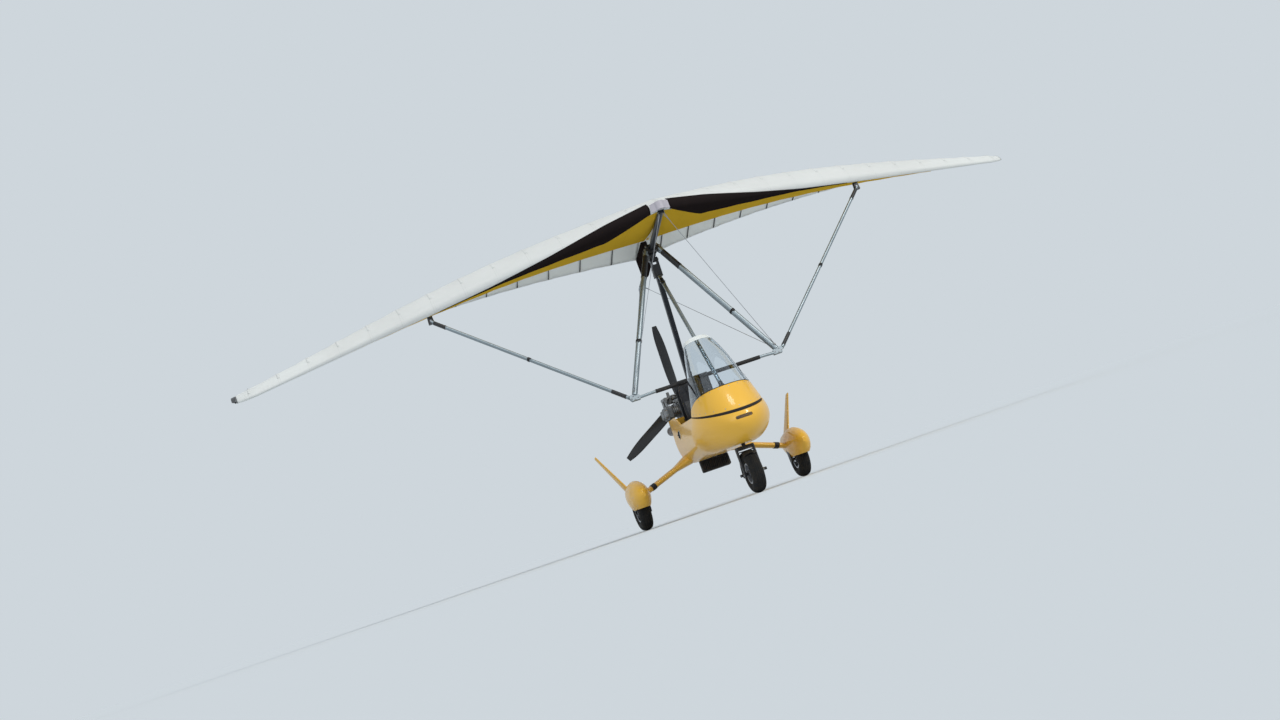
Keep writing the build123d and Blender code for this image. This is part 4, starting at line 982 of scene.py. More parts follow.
def make_seam_highlight_and_hem(name, side):
    """A cream strip along the lower cloth's rear seam, a painted highlight of its lit hem, and two rows of hem
    under the top cloth's tail.
    """
    highlight_strip, hem = Shape(), Shape()
    highlight_strip_shares = [seam_share - before for before in (0.026, 0.018, 0.012)]
    highlight_strip.grid([[sided(slanted_point(x, share, lift=0.0018), side) for share in highlight_strip_shares]
               for x in lower_columns])
    for share in (0.972, 0.986):
        hem.grid([[top_cloth_point(x, s, side, -0.0012) for s in (share - 0.0016, share + 0.0016)]
                  for x in columns])
    # the cream strip on the seam's edge is a painted highlight of the lit hem
    highlight_strip.piece("seam_tape_" + name, "tank", "wing", smooth=60, thick=0.0008)
    hem.piece("tail_hem_" + name, "sail_white", "wing", smooth=60, thick=0.0006)


for name, side in sail_sides.items():
    make_bar_trim(side)
    make_stay_ends(side)
    make_seam_highlight_and_hem(name, side)
make_wing_bolts()
make_hang_block_bolts()


# Wheels: ribbed tyres with notched shoulders, bolts, valves and bearing caps

wheels = {
    # name: centre, body, outer side, which is both sides for 0
    "front": (pivots["front_wheel_spin"], "front_wheel", 0),
    "rear_left": (pivots["rear_wheel_left_spin"], "rear_wheel_left", 1),
    "rear_right": (pivots["rear_wheel_right_spin"], "rear_wheel_right", -1),
}
tyre_half = 0.065
bead_radius, tyre_radius = 0.1025, 0.2047
shoulder = (0.045, 0.1925)
tyre_steps, notch_every = 192, 4
groove_places, groove_half, groove_depth, groove_from = (0.010, 0.029), 0.0021, 0.0045, 0.194
notch_inner, notch_from, notch_depth = 0.0335, 0.183, 0.004
wheel_bolts, bolt_circle = 8, 0.078
valve_radius = 0.090


def tyre_profile():
    """Half of the section, from the bead to the crown, as (across, radius)."""
    wall = arc_points((0.057, 0.124), (tyre_half, 0.158), shoulder, 10)
    tread = arc_points(shoulder, (0.024, 0.2018), (0, tyre_radius), 20)
    return [(0.049, bead_radius), (0.055, 0.112)] + wall + tread[1:]


def make_tyre(name, centre, body):
    half = tyre_profile()
    section = [(-a, r) for a, r in half] + [(a, r) for a, r in reversed(half[:-1])]
    shape = Shape()
    rows = []
    for k in range(tyre_steps):
        angle = 2 * pi * k / tyre_steps
        row = []
        for across, radius in section:
            off_groove = min(abs(abs(across) - place) for place in groove_places)
            grooved = radius > groove_from and off_groove < groove_half
            notched = radius > notch_from and abs(across) > notch_inner and k % notch_every == 0
            reach = radius - max(groove_depth * grooved, notch_depth * notched)
            row.append(centre + Vector((across, reach * cos(angle), reach * sin(angle))))
        rows.append(row)
    shape.grid(rows, ring=True, loop=True)
    shape.piece("tyre_cover_" + name, "tyre", body, smooth=50, replaces=["tyre_" + name])


def make_wheel_fittings(name, centre, body, outside):
    bolts, cap = Shape(), Shape()
    for face in ((outside,) if outside else (-1, 1)):
        axis = Vector((face, 0, 0))
        for k in range(wheel_bolts):
            angle = 2 * pi * (k + 0.5) / wheel_bolts
            spot = Vector((face * 0.009, bolt_circle * cos(angle), bolt_circle * sin(angle)))
            bolts.bolt(centre + spot, axis, 0.006, 0.006)
        cap.turned([(0.054, 0.031), (0.058, 0.030), (0.0585, 0.019), (0.055, 0.0185)],
                   centre, axis, 32, caps=True)
    valve_side = outside or 1
    valve = centre + Vector((valve_side * 0.010, 0, valve_radius))
    bolts.tube([valve, valve + Vector((valve_side * 0.018, 0, -0.010))], [0.0045, 0.0035], 8)
    bolts.piece("wheel_bolts_" + name, "wire", body)
    cap.piece("bearing_cap_" + name, "black_fitting", body)


for name, (centre, body, outside) in wheels.items():
    make_tyre(name, centre, body)
    make_wheel_fittings(name, centre, body, outside)


# Seats: foam cushions swollen by a cloth simulation, with sewn channels and piping

cushions = {
    # name: middle, half sizes across, along and through, lean of the long side in degrees, sewn channels
    "front_seat_base": ((0, -0.462, 0.648), (0.176, 0.158, 0.036), -8, (-0.05, 0.05)),
    "front_seat_back": ((0, -0.208, 0.880), (0.172, 0.196, 0.029), 74.2, (-0.10, 0.0, 0.10)),
    "rear_seat_base": ((0, 0.005, 0.826), (0.184, 0.142, 0.030), -4.5, (-0.04, 0.05)),
    "rear_seat_back": ((0, 0.110, 1.098), (0.182, 0.216, 0.026), 82.4, (-0.11, 0.0, 0.11)),
}
swell_limit, swell_frames, air_pressure = 0.012, 20, 4
cushion_rows, cushion_sides, voxel = 24, 64, 0.008
corner_power = 6            # how square a cushion's corners are
flat_power, rise_power = 0.32, 0.75     # how full its edge and its crown are
channel_depth, channel_half = 0.007, 0.007
channel_reach, channel_power = 0.9, 8   # a channel's share of the width, and how sharp its ends are
worn_depth, worn_half, worn_share = 0.010, 0.10, 0.7
piping_radius, piping_lift, piping_steps = 0.0036, 0.001, 96


def squareness(turn):
    """How far a rounded square reaches in a direction, against a circle."""
    return (abs(cos(turn)) ** corner_power + abs(sin(turn)) ** corner_power) ** (-1 / corner_power)


def cushion_axes(lean):
    """Directions across a cushion, along it and out of it."""
    turn = radians(lean)
    return Vector((1, 0, 0)), Vector((0, cos(turn), sin(turn))), Vector((0, -sin(turn), cos(turn)))


def slab_mesh(name, middle, sizes, lean):
    """A plump rectangle, rounded at its corners, its edge drawn in."""
    right, ahead, thick = cushion_axes(lean)
    shape = Shape()
    rows = []
    for i in range(1, cushion_rows):
        tilt = -pi / 2 + pi * i / cushion_rows
        flat = abs(cos(tilt)) ** flat_power
        rise = math.copysign(abs(sin(tilt)) ** rise_power, tilt)
        row = []
        for k in range(cushion_sides):
            turn = 2 * pi * k / cushion_sides
            square = squareness(turn)
            row.append(Vector(middle) + right * sizes[0] * flat * square * cos(turn)
                       + ahead * sizes[1] * flat * square * sin(turn) + thick * sizes[2] * rise)
        rows.append(row)
    shape.grid(rows, ring=True, caps=True)
    mesh = bpy.data.meshes.new(name)
    mesh.from_pydata([tuple(p) for p in shape.points], [], shape.faces)
    return mesh


def settled(made):
    """The object's mesh with its modifiers worked out."""
    return bpy.data.meshes.new_from_object(made.evaluated_get(bpy.context.evaluated_depsgraph_get()))


def start_cushion(name, middle, sizes, lean):
    """An even mesh with its swelling set up, which the frames then work out."""
    made = bpy.data.objects.new(name, slab_mesh(name, middle, sizes, lean))
    bpy.context.scene.collection.objects.link(made)
    remesh = made.modifiers.new("even mesh", "REMESH")
    remesh.mode = "VOXEL"
    remesh.voxel_size = voxel
    made.data = settled(made)
    made.modifiers.clear()
    cloth = made.modifiers.new("swelling", "CLOTH")
    cloth.settings.use_pressure = True
    cloth.settings.uniform_pressure_force = air_pressure
    cloth.settings.effector_weights.gravity = 0
    cloth.settings.quality = 5
    return made


def finish_cushion(made, middle, sizes, lean, channels):
    """Caps the swelling, presses in the sewn channels and adds piping round the edge."""
    right, ahead, thick = cushion_axes(lean)
    rest = [v.co.copy() for v in made.data.vertices]
    swollen = settled(made)
    made.modifiers.clear()
    made.data = swollen
    for vertex, start in zip(made.data.vertices, rest):
        push = vertex.co - start
        if push.length > swell_limit:
            vertex.co = start + push * (swell_limit / push.length)
        local = vertex.co - Vector(middle)
        across, length, depth = local.dot(right), local.dot(ahead), local.dot(thick)
        gap = min(abs(length - at) for at in channels)
        inside = max(0.0, 1 - (abs(across) / (sizes[0] * channel_reach)) ** channel_power)
        sewn = channel_depth * math.exp(-(gap / channel_half) ** 2) * inside
        worn = worn_depth * math.exp(-(across / worn_half) ** 2 - (length / (worn_share * sizes[1])) ** 2)
        if depth > 0:
            vertex.co -= thick * (sewn + worn)
    made.data.materials.append(finishes["seat_cloth"].material)
    made.data.polygons.foreach_set("use_smooth", [True] * len(made.data.polygons))
    finer = made.modifiers.new("finer", "SUBSURF")
    finer.levels = finer.render_levels = 1
    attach(made, "trike")
    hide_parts(made.name.rsplit("_", 1)[0])
    piping = Shape()
    skin = mesh_surface(made.data)
    for level in (-0.5, 0.5):
        loop = []
        for k in range(piping_steps):
            turn = 2 * pi * k / piping_steps
            out = (right * sizes[0] * cos(turn) + ahead * sizes[1] * sin(turn)) * squareness(turn)
            start = Vector(middle) + thick * sizes[2] * level + 1.4 * out
            loop.append(skin.ray_cast(start, -out)[0] + piping_lift * out.normalized())
        loop.append(loop[0])
        piping.tube(loop, piping_radius, 8)
    piping.piece(made.name + "_piping", "dark_trim", "trike")


started = {name: start_cushion(name, *row[:3]) for name, row in cushions.items()}
for step in range(1, swell_frames + 1):
    bpy.context.scene.frame_set(step)
for name, row in cushions.items():
    finish_cushion(started[name], *row)
bpy.context.scene.frame_set(1)


# Pod trim: beads and screws, filler cap, slot mesh, dials, harnesses, seat pans and frame bolts

joint_line = list(zip(*arc_points((-1.480, 1.082), (-1.190, 1.058), (-0.860, 0.925), 40)))      # y, z
screen_edge = ((0.95, 1.13, 1.38, 1.70), (-0.925, -0.900, -0.845, -0.610))      # z, y of its rear edge
edge_bead_low, edge_bead_high = 0.94, 1.525
bead_steps, bead_turn = 44, 1.95            # on each side of the nose, in degrees
screw_steps, screw_turn = 6, 12.5
off_joint, off_foot = 0.022, 0.024          # rows of screws, from the cowl's two joints
beside = 0.8                # clear of the pod's side
side_screws = [("pod_tub", 0.872, (-0.80, -0.55, -0.30, 0.30)), ("rear_coaming", 0.925, (0.05, 0.20, 0.38))]
filler_y, filler_z = 0.02, 0.815


def joint_level(y):
    """Height where the cowl meets the screen."""
    return float(np.interp(y, *joint_line))


def cowl_foot_level(y):
    """Height where the cowl meets the tub."""
    return 0.812 + 0.098 * (y + 1.65) / 0.75


def round_pod(node, angle, level, rest=0.0):
    """Where a level line on the pod's skin is met from outside, at an angle off the nose."""
    y, place, normal = -1.2, None, None
    out = Vector((sin(angle), -cos(angle), 0))
    for _ in range(6):
        hub = Vector((0, -0.93, level(y) + rest))
        place, normal = on_surface(node, hub + 1.2 * out, hub)
        if place is None:
            break
        y = place.y
    return place, normal


def screw(shape, place, normal):
    """A domed screw head, where its place was met."""
    if place is not None:
        shape.turned([(0, 0.0056), (0.0010, 0.0052), (0.0018, 0.0034)], place, normal, 16, caps=True)


def make_screen_beads():
    """Beads along the cowl's joint with the screen and up the screen's rear edges."""
    beads = Shape()
    joint = []
    for k in range(-bead_steps, bead_steps + 1):
        place, normal = round_pod("nose_cowl", radians(bead_turn * k), joint_level, -0.003)
        if place is not None:
            joint.append(place + normal * 0.0004 + Vector((0, 0, 0.003)))
    beads.tube(joint, 0.0030, 8)
    for side in (-1, 1):
        edge = []
        for z in np.linspace(edge_bead_low, edge_bead_high, 25).tolist():
            y = float(np.interp(z, *screen_edge)) - 0.004
            place = on_surface("windscreen", (side * beside, y, z), (0, y, z))[0]
            if place is not None:
                edge.append(place + Vector((-side * 0.002, 0.003, 0)))
        beads.tube(edge, 0.0042, 8)
    beads.piece("screen_beads", "dark_trim", "trike")


def make_pod_screws():
    screws = Shape()
    for k in range(-screw_steps, screw_steps + 1):
        turn = radians(screw_turn * k)
        screw(screws, *round_pod("nose_cowl", turn, joint_level, -off_joint))
        screw(screws, *round_pod("windscreen", turn, joint_level, off_joint))
        screw(screws, *round_pod("nose_cowl", turn, cowl_foot_level, off_foot))
    for side in (-1, 1):
        for node, z, along in side_screws:
            for y in along:
                screw(screws, *on_surface(node, (side * beside, y, z), (0, y, z)))
    screws.piece("pod_screws", "wire", "trike")


def make_filler_cap():
    cap, ring = Shape(), Shape()
    place, normal = on_surface("pod_tub", (-beside, filler_y, filler_z), (0, filler_y, filler_z))
    ring.turned([(0, 0.046), (0.004, 0.045), (0.0045, 0.036), (0.002, 0.036)], place, normal, 40)
    cap.turned([(0, 0.0355), (0.010, 0.034), (0.012, 0.030), (0.0122, 0.012)],
               place, normal, 40, caps=True)
    cap.block(place + normal * 0.014, Vector((0, 0.026, 0)), Vector((0, 0, 0.004)), normal * 0.004)
    cap.piece("filler_cap", "dark_trim", "trike", bevel=0.0008)
    ring.piece("filler_ring", "alloy", "trike")


def make_mesh_grille():
    """Wire mesh behind the cooling slot in the nose."""
    mesh = Shape()
    wire_gap, wire_radius, half_wide, mesh_y = 0.009, 0.0009, 0.078, -1.606
    for k in range(-8, 9):
        mesh.tube([(wire_gap * k, mesh_y, 0.716), (wire_gap * k, mesh_y, 0.754)], wire_radius, 6)
    for z in (0.721, 0.730, 0.740, 0.749):
        mesh.tube([(-half_wide, mesh_y - 0.001, z), (half_wide, mesh_y - 0.001, z)], wire_radius, 6)
    mesh.piece("slot_mesh", "wire", "trike")


panel_out = Vector((0, 1, 0.25)).normalized()
panel_down = panel_out.cross(Vector((1, 0, 0)))
panel_corner = Vector((0, -1.215, 0.985)) + 0.060 * panel_out
dials = [
    # across, down the panel, radius
    (-0.150, 0.026, 0.036), (-0.072, 0.030, 0.036), (0.150, 0.026, 0.036), (0.072, 0.030, 0.036),
    (-0.110, -0.042, 0.026), (0.110, -0.042, 0.026),
]
dial_depth = 0.0055


def dial_way(degrees):
    """A direction on the panel, turned from straight up."""
    turn = radians(degrees)
    return sin(turn) * Vector((-1, 0, 0)) - cos(turn) * panel_down


def make_dials():
    """Dial faces with their ticks and needles, bezel rings, and a row of knobs. No lettering."""
    faces, marks, rings, knobs = Shape(), Shape(), Shape(), Shape()
    for number, (x, y, radius) in enumerate(dials):
        middle = panel_corner + Vector((x, 0, 0)) + y * panel_down
        floor = middle - dial_depth * panel_out
        faces.turned([(0, radius - 0.001), (0.0004, radius - 0.001)], floor, panel_out, 40, caps=True)
        rings.turned([(-0.004, radius - 0.0035), (0.001, radius - 0.0030), (0.0030, radius),
                      (0.0024, radius + 0.003), (0, radius + 0.004)], middle, panel_out, 40)
        for degrees in range(-140, 141, 28):
            way = dial_way(degrees)
            marks.block(floor + way * (radius * 0.76) + 0.0008 * panel_out, way * radius * 0.10,
                        way.cross(panel_out) * 0.0008, panel_out * 0.0003)
        way = dial_way(-150 + 47 * number)
        marks.block(floor + way * radius * 0.26 + 0.0018 * panel_out, way * radius * 0.42,
                    way.cross(panel_out) * 0.0011, panel_out * 0.0003)
        knobs.turned([(0, 0.004), (0.0026, 0.004), (0.003, 0.003)], floor, panel_out, 16, caps=True)
    for k in range(4):
        place = panel_corner + Vector((-0.033 + 0.022 * k, 0, 0)) + 0.062 * panel_down
        knobs.turned([(0, 0.0065), (0.004, 0.0065), (0.004, 0.0035), (0.016, 0.0028), (0.018, 0.0035)],
                     place, panel_out, 16, caps=True)
    faces.piece("dial_faces", "blade", "trike")
    marks.piece("dial_marks", "tank", "trike")
    rings.piece("dial_rings", "wire", "trike")
    knobs.piece("panel_knobs", "dark_trim", "trike")


def make_harness(name, base, back):
    """Lap belt and two shoulder straps laid over a seat's cushions, with their buckle."""
    straps, metal = Shape(), Shape()
    (base_middle, base_size, base_lean), (back_middle, back_size, back_lean) = base[:3], back[:3]
    right, along_base, up_base = cushion_axes(base_lean)
    right, along_back, out_back = cushion_axes(back_lean)
    strap_width, strap_gap, strap_side = 0.040, 0.015, 0.066

    def by_base(x, reach, lift):
        return Vector(base_middle) + right * x + along_base * reach + up_base * lift

    def by_back(x, reach, lift):
        return Vector(back_middle) + right * x + along_back * reach + out_back * lift

    buckle_reach, buckle_lift = 0.055, base_size[2] + 0.022
    buckle = by_base(0, buckle_reach, buckle_lift)
    over_back = back_size[2] + strap_gap
    for side in (-1, 1):
        x = strap_side * side
        shoulder_path = [by_back(x, back_size[1] - 0.036, -0.050), by_back(x, back_size[1] + 0.014, -0.012),
                         by_back(x, back_size[1] - 0.020, over_back), by_back(x, 0.06, over_back),
                         by_back(x * 0.9, -0.08, over_back),
                         by_base(side * 0.030, buckle_reach + 0.09, buckle_lift + 0.030),
                         by_base(side * 0.020, buckle_reach, buckle_lift + 0.003)]
        lap_path = [by_base(side * (base_size[0] + 0.008), 0.10, -0.03),
                    by_base(side * (base_size[0] + 0.004), 0.085, 0.02),
                    by_base(side * (base_size[0] - 0.035), 0.07, base_size[2] + 0.016),
                    by_base(side * 0.028, buckle_reach, buckle_lift)]
        straps.ribbon(smooth_path(shoulder_path), strap_width, right)
        straps.ribbon(smooth_path(lap_path), strap_width, along_base)
        slider = by_back(x, 0.015, back_size[2] + 0.0175)
        metal.block(slider, right * 0.025, along_back * 0.014, out_back * 0.0016)
        metal.block(buckle + right * side * 0.040, right * 0.012, along_base * 0.019, up_base * 0.0022)
    metal.turned([(-0.006, 0.026), (0.006, 0.028), (0.010, 0.024), (0.0105, 0.010)],
                 buckle, up_base, 32, caps=True)
    straps.piece("straps_" + name, "seat_cloth", "trike")
    metal.piece("buckles_" + name, "wire", "trike", bevel=0.0007)


front_pan = [(-0.640, 0.604), (-0.634, 0.626), (-0.616, 0.632), (-0.310, 0.589), (-0.272, 0.590),
             (-0.250, 0.620), (-0.234, 0.676), (-0.120, 1.080), (-0.112, 1.090)]        # y, z
rear_pan = [(-0.150, 0.800), (-0.140, 0.797), (0.110, 0.789), (0.128, 0.800), (0.134, 0.860),
            (0.168, 1.315), (0.176, 1.324)]                                             # y, z
pan_thickness = 0.006
rail_x, rail_z = 0.158, 0.524
post_foot, post_head = 0.514, 0.628
post_radius, cross_radius, arm_radius = 0.010, 0.008, 0.009
arm_heights = (0.98, 1.22)              # from the rear pan's back to the mast


def make_seat_pans():
    """Moulded pans under and behind the cushions, on tube frames."""
    pans, frames = Shape(), Shape()
    for line, width in ((front_pan, 0.372), (rear_pan, 0.384)):
        pans.ribbon(smooth_path([(0, y, z) for y, z in line]), width, (1, 0, 0), pan_thickness)
    for side in (-1, 1):
        x = rail_x * side
        frames.tube([(x, -0.604, post_foot), (x, -0.604, post_head)], post_radius)
        frames.tube([(x, -0.230, post_foot), (x, -0.246, post_head), (x, -0.190, 0.838)], post_radius)
        frames.tube([(x, -0.630, rail_z), (x, -0.200, rail_z)], post_radius)
        for z in arm_heights:
            pan_y, mast_y = 0.128 + 0.08 * (z - 0.80), 0.262 - 0.202 * (z - 1.0)
            frames.tube([(x * 0.16, pan_y, z), (x * 0.16, mast_y, z)], arm_radius)
    frames.tube([(-rail_x, -0.415, rail_z), (rail_x, -0.415, rail_z)], cross_radius)
    pans.piece("seat_pans", "blade", "trike", smooth=30)
    frames.piece("seat_frames", "alloy", "trike")


strut_ends = Vector((0, -1.180, 1.030)), Vector((0, -0.078, 2.420))
mast_ends = Vector((0, 0.340, 0.640)), Vector((0, -0.036, 2.500))
mast_head_half = 0.0415
frame_bolts = [
    # x on the left side, y, z, head's radius and height
    (mast_head_half, hang_bolt.y, hang_bolt.z, 0.0130, 0.010),
    (mast_head_half, -0.028, 2.462, 0.0075, 0.006), (mast_head_half, -0.010, 2.448, 0.0075, 0.006),
    (0.0245, 0.322, 0.730, 0.0085, 0.007),
    (0.135, 0.272, 0.960, 0.0075, 0.006), (0.135, 0.740, 0.960, 0.0075, 0.006),
]


def make_frame_bolts():
    """Bolts of the mast head, front strut, mast foot and engine bearers, and sleeves at the tubes' ends."""
    bolts, sleeves = Shape(), Shape()
    for side in (-1, 1):
        for x, y, z, radius, height in frame_bolts:
            bolts.bolt((side * x, y, z), (side, 0, 0), radius, height)
    low, high = strut_ends
    ahead = (high - low).normalized()
    for start, end in ((low + ahead * 0.05, low + ahead * 0.13), (high - ahead * 0.13, high - ahead * 0.05)):
        sleeves.sleeve(start, end, 0.020, 0.020, (1, 0, 0), 0.0028)
        for side in (-1, 1):
            bolts.bolt((start + end) / 2 + Vector((side * 0.0222, 0, 0)), (side, 0, 0), 0.0070, 0.006)
    low, high = mast_ends
    ahead = (high - low).normalized()
    sleeves.sleeve(high - ahead * 0.235, high - ahead * 0.205, 0.0255, 0.0385, (1, 0, 0), 0.003, 4)
    bolts.piece("frame_bolts", "wire", "trike")
    sleeves.piece("strut_collars", "black_fitting", "trike")


make_screen_beads()
make_pod_screws()
make_filler_cap()
make_mesh_grille()
make_dials()
make_harness("front", cushions["front_seat_base"], cushions["front_seat_back"])
make_harness("rear", cushions["rear_seat_base"], cushions["rear_seat_back"])
make_seat_pans()
make_frame_bolts()


# Engine trim: bolts, plugs with their leads, ignition box, starter, hoses and clamps

crank_z = 1.085
cylinder_rows = (0.550, 0.700)      # y of the cylinders, two on each side
head_x, pipe_x = 0.2695, 0.238
block_front = 0.4765
gearbox_y, gearbox_z, gearbox_ring = 0.9295, 1.155, 0.084
hub_behind = 0.023                  # the hub's middle, behind its joint
root_reach, root_side = 0.0655, 0.0198      # a blade's bolts, out from the shaft and off the blade's middle
root_apart = 0.033                  # and half their gap along the shaft
hose_path = [(0.105, 0.352, 0.470), (0.118, 0.440, 0.462), (0.112, 0.510, 0.520),
             (0.078, 0.560, 0.680), (0.072, 0.596, 0.860), (0.072, 0.604, 0.990)]       # left side
loom_path = [(-0.06, 0.215, 0.800), (-0.07, 0.330, 0.905), (-0.09, 0.430, 1.010),
             (-0.14, 0.560, 1.160), (-0.178, 0.600, 1.190)]
link_path = [(-0.14, 0.560, 1.160), (0, 0.470, 1.200), (0.14, 0.560, 1.165), (0.178, 0.600, 1.190)]
block_bolts = ((-0.098, 1.150), (0.098, 1.150), (-0.098, 1.020), (0.098, 1.020), (0, 1.170), (0, 1.002))


def clamp(shape, place, axis, radius, grow, width, sides, edge=0.0004):
    """A hose clamp's band."""
    shape.turned([(0, radius), (edge, radius + grow), (width - edge, radius + grow), (width, radius)],
                 place, axis, sides)


def plug_and_lead(foot, side, lead_end, alloy, dark, leads):
    """A spark plug on its head, its rubber cap, and the lead to the ignition box."""
    alloy.turned([(0, 0.0085), (0.010, 0.0085), (0.010, 0.0055), (0.022, 0.0055)],
                 foot, (0, 0, 1), 6, caps=True)
    dark.tube([foot + Vector((0, 0, 0.018)), foot + Vector((0, 0, 0.046)),
               foot + Vector((-side * 0.006, 0, 0.056))], [0.0075, 0.0075, 0.006], 10)
    start = foot + Vector((-side * 0.006, 0, 0.052))
    middle = start.lerp(lead_end, 0.5) + Vector((0, 0, 0.030))
    rising = start.lerp(middle, 0.4) + Vector((0, 0, 0.018))
    leads.tube(smooth_path([start, rising, middle, lead_end], 5), 0.0036, 8)


engine_trim = {
    # name: finish, width of its soft edges
    "engine_bolts": ("wire", 0),
    "ignition_box": ("dark_trim", 0.001),
    "plug_leads": ("dark_trim", 0),
    "coolant_hoses": ("dark_trim", 0),
    "hose_clamps": ("wire", 0),
    "starter_and_plugs": ("rim_alloy", 0),
}


def dress_cylinders(trim, side):
    """Bolts, plugs with their leads, and hose clamps of the two cylinders on one side."""
    bolts, clamps = trim["engine_bolts"], trim["hose_clamps"]
    plug_shapes = trim["starter_and_plugs"], trim["ignition_box"], trim["plug_leads"]
    out = Vector((side, 0, 0))
    for row, y in enumerate(cylinder_rows):
        for dz in (-0.030, 0.030):
            bolts.bolt((side * 0.2995, y, crank_z + dz), out, 0.0050, 0.005)
        for dz in (-0.056, 0.056):
            for dy in (-0.050, 0.050):
                bolts.bolt((side * head_x, y + dy, crank_z + dz), out, 0.0045, 0.004)
        for number, dy in enumerate((-0.038, 0.038)):
            foot = Vector((side * 0.232, y + dy, crank_z + 0.067))
            lead_end = Vector((side * 0.052, 0.520 + 0.036 * row + 0.018 * number, 1.222))
            plug_and_lead(foot, side, lead_end, *plug_shapes)
        clamp(clamps, (side * pipe_x, y, crank_z - 0.112), (0, 0, -1), 0.0178, 0.0018, 0.010, 28)
    for y in (0.510, 0.788):
        clamp(clamps, (side * pipe_x, y, 0.905), (0, 1, 0), 0.0462, 0.0018, 0.012, 40)
    clamp(clamps, (side * 0.150, 0.625, crank_z + 0.150), (-side, 0, 0), 0.0285, 0.0017, 0.011, 32, 0.0005)


def dress_block(trim):
    """Ribbed ignition box on top, starter below, bolts of the gearbox and the block, and the front cap."""
    bolts, dark, alloy = trim["engine_bolts"], trim["ignition_box"], trim["starter_and_plugs"]
    dark.block((0, 0.555, 1.207), (0.050, 0, 0), (0, 0.062, 0), (0, 0, 0.022))
    for k in range(5):
        dark.block((0, 0.515 + 0.020 * k, 1.231), (0.042, 0, 0), (0, 0.003, 0), (0, 0, 0.003))
    alloy.turned([(0, 0.020), (0.012, 0.032), (0.110, 0.032), (0.118, 0.026), (0.118, 0.010)],
                 (-0.028, 0.560, 0.952), (0, 1, 0), 32, caps=True)
    for degrees in range(0, 360, 40):
        turn = radians(degrees)
        place = Vector((gearbox_ring * cos(turn), gearbox_y, gearbox_z + gearbox_ring * sin(turn)))
        if place.z < 1.13 or abs(place.x) < 0.07:
            bolts.bolt(place, (0, 1, 0), 0.0045, 0.004)
    for x, z in block_bolts:
        bolts.bolt((x, block_front, z), (0, -1, 0), 0.0055, 0.005)
    alloy.turned([(0, 0.030), (0.014, 0.030), (0.018, 0.024)],
                 (0, block_front, crank_z), (0, -1, 0), 32, caps=True)


def lay_hoses(trim):
    """A coolant hose with its clamp on each side, and the loom and link wires."""
    for side in (-1, 1):
        hose = smooth_path([(side * x, y, z) for x, y, z in hose_path])
        trim["coolant_hoses"].tube(hose, 0.0125, 14)
        clamp(trim["hose_clamps"], (side * 0.072, 0.603, 0.962), (0, 0.008, 1), 0.0128, 0.0014, 0.009, 24)
    for path in (loom_path, link_path):
        trim["plug_leads"].tube(smooth_path(path), 0.0045, 8)


def make_engine_trim():
    trim = {name: Shape() for name in engine_trim}
    for side in (-1, 1):
        dress_cylinders(trim, side)
    dress_block(trim)
    lay_hoses(trim)
    for name, (finish, bevel) in engine_trim.items():
        trim[name].piece(name, finish, "trike", bevel=bevel)


def make_propeller_bolts():
    """Four bolts at the root of each blade."""
    bolts = Shape()
    hub = pivots["propeller_spin"] + Vector((0, hub_behind, 0))
    for turn in range(0, 360, 120):
        way = Vector((sin(radians(turn)), 0, cos(radians(turn))))
        sideways = way.cross(Vector((0, 1, 0)))
        for dy in (-root_apart, root_apart):
            for across in (-root_side, root_side):
                place = hub + Vector((0, dy, 0)) + way * root_reach + sideways * across
                bolts.bolt(place, way, 0.0045, 0.005)
    bolts.piece("propeller_bolts", "wire", "propeller")


make_engine_trim()
make_propeller_bolts()


# Undercarriage trim: cuffs, screws, foot peg grips and rim beads

leg_root, leg_end = (0.130, 0.400, 0.600), (0.790, 0.400, 0.368)
leg_half_sizes = ((0.098, 0.034), (0.078, 0.029))       # at the root and at the end
cuff_start, cuff_length = 0.566, 0.052
spat_screws = ((0.10, 0.36), (0.26, 0.44), (0.40, 0.452), (0.54, 0.44), (0.70, 0.40),
               (0.10, 0.27), (0.66, 0.29))      # y, z
steering_rake = radians(14)
fork_crown_z, fork_lean, fork_side = 0.463, 0.0258, 0.0955
fork_bolt_heights = (0.300, 0.395)
peg_rise, grip_x = 0.124, 0.100         # pegs along the steering axis from its joint, grips from the middle
grip_ribs, rib_pitch = 11, 0.009
axle_nut_x = 0.0965


def make_leg_trim():
    """A rubber cuff on each leg and screws round the spats."""
    cuffs, screws = Shape(), Shape()
    for name, side in (("right", -1), ("left", 1)):
        root, end = (Vector((side * x, y, z)) for x, y, z in (leg_root, leg_end))
        run = (end - root).normalized()
        share = cuff_start / (end - root).length
        wide, deep = (a + (b - a) * share for a, b in zip(*leg_half_sizes))
        cuffs.sleeve(root + run * cuff_start, root + run * (cuff_start + cuff_length), wide, deep,
                     (0, 1, 0), 0.004, 48)
        wheel_x = pivots[f"rear_wheel_{name}_spin"].x
        for y, z in spat_screws:
            screw(screws, *on_surface(f"spat_{name}", (side * 1.3, y, z), (wheel_x, y, z)))
    cuffs.piece("leg_cuffs", "dark_trim", "trike")
    screws.piece("spat_screws", "wire", "trike")


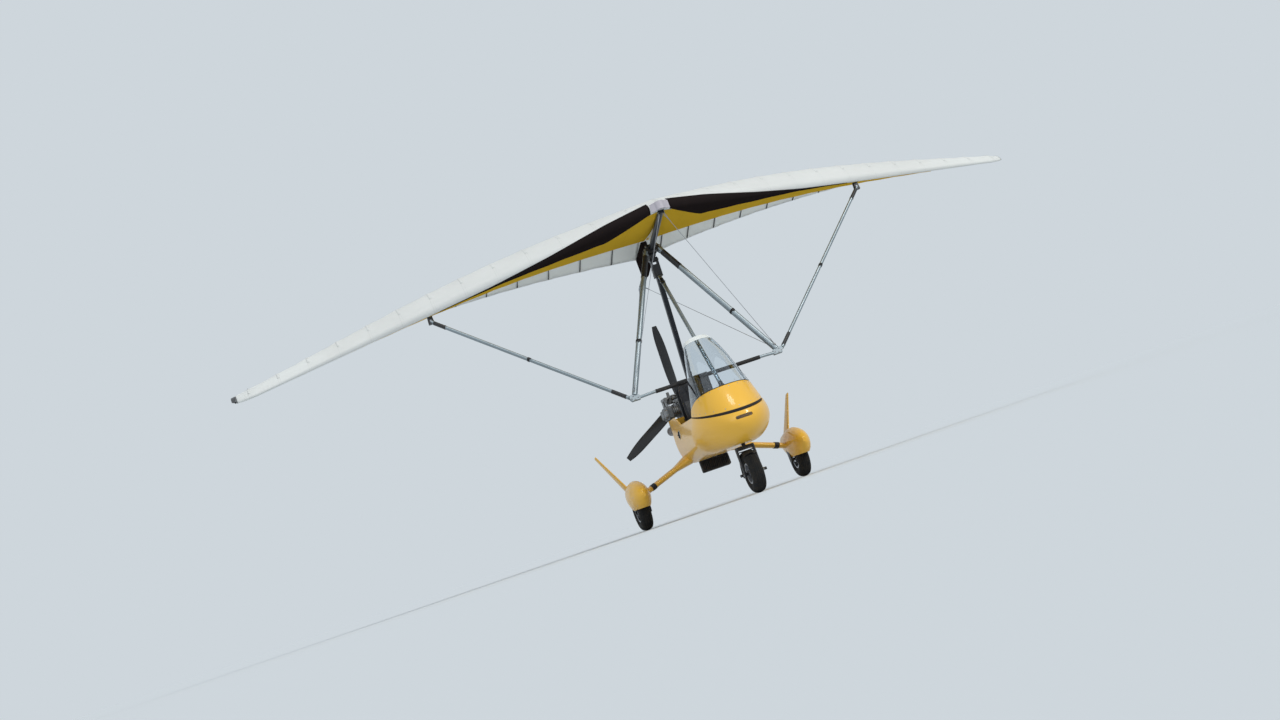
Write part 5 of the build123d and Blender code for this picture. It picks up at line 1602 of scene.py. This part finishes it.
def make_fork_trim():
    """Ribbed grips on the foot pegs, bolts down the fork legs and nuts on the hollow axle."""
    grips, bolts = Shape(), Shape()
    axle = pivots["front_wheel_spin"]
    pegs = pivots["steering"] + peg_rise * Vector((0, sin(steering_rake), cos(steering_rake)))
    profile = [(0, 0.0135)]
    for k in range(grip_ribs):
        start = 0.002 + rib_pitch * k
        profile += [(start, 0.0178), (start + 0.006, 0.0178), (start + 0.0065, 0.0160)]
    profile += [(0.104, 0.0185), (0.107, 0.0140)]
    for side in (-1, 1):
        grips.turned(profile, pegs + Vector((side * grip_x, 0, 0)), (side, 0, 0), 28)
        for z in fork_bolt_heights:
            share = (z - axle.z) / (fork_crown_z - axle.z)
            bolts.bolt((side * fork_side, axle.y + fork_lean * share, z), (side, 0, 0), 0.0055, 0.005)
        bolts.turned([(0, 0.021), (0.002, 0.021), (0.002, 0.017), (0.011, 0.017), (0.012, 0.0142)],
                     axle + Vector((side * axle_nut_x, 0, 0)), (side, 0, 0), 6)
    grips.piece("peg_grips", "dark_trim", "front_fork")
    bolts.piece("fork_bolts", "wire", "front_fork")


def make_rim_beads(name, centre, body):
    beads = Shape()
    for face in (-1, 1):
        beads.turned([(0.0440, 0.0960), (0.0478, 0.1012), (0.0505, 0.1022), (0.0512, 0.0996),
                      (0.0495, 0.0955)], centre, (face, 0, 0), 64)
    beads.piece("rim_beads_" + name, "rim_alloy", body)


make_leg_trim()
make_fork_trim()
for name, (centre, body, _) in wheels.items():
    make_rim_beads(name, centre, body)


# Floor

floor_colour = tint(205, 211, 215)
floor_half = 160            # metres, so that its edge meets the backdrop far off


def make_floor():
    mesh = bpy.data.meshes.new("floor")
    corners = [(i * floor_half, j * floor_half, 0) for i, j in ((-1, -1), (1, -1), (1, 1), (-1, 1))]
    mesh.from_pydata(corners, [], [(0, 1, 2, 3)])
    floor = bpy.data.objects.new("floor", mesh)
    bpy.context.scene.collection.objects.link(floor)
    finish = Finish("floor")
    finish.set({"Base Color": floor_colour, "Roughness": 1.0, "Specular IOR Level": 0.0})
    mesh.materials.append(finish.material)


make_floor()
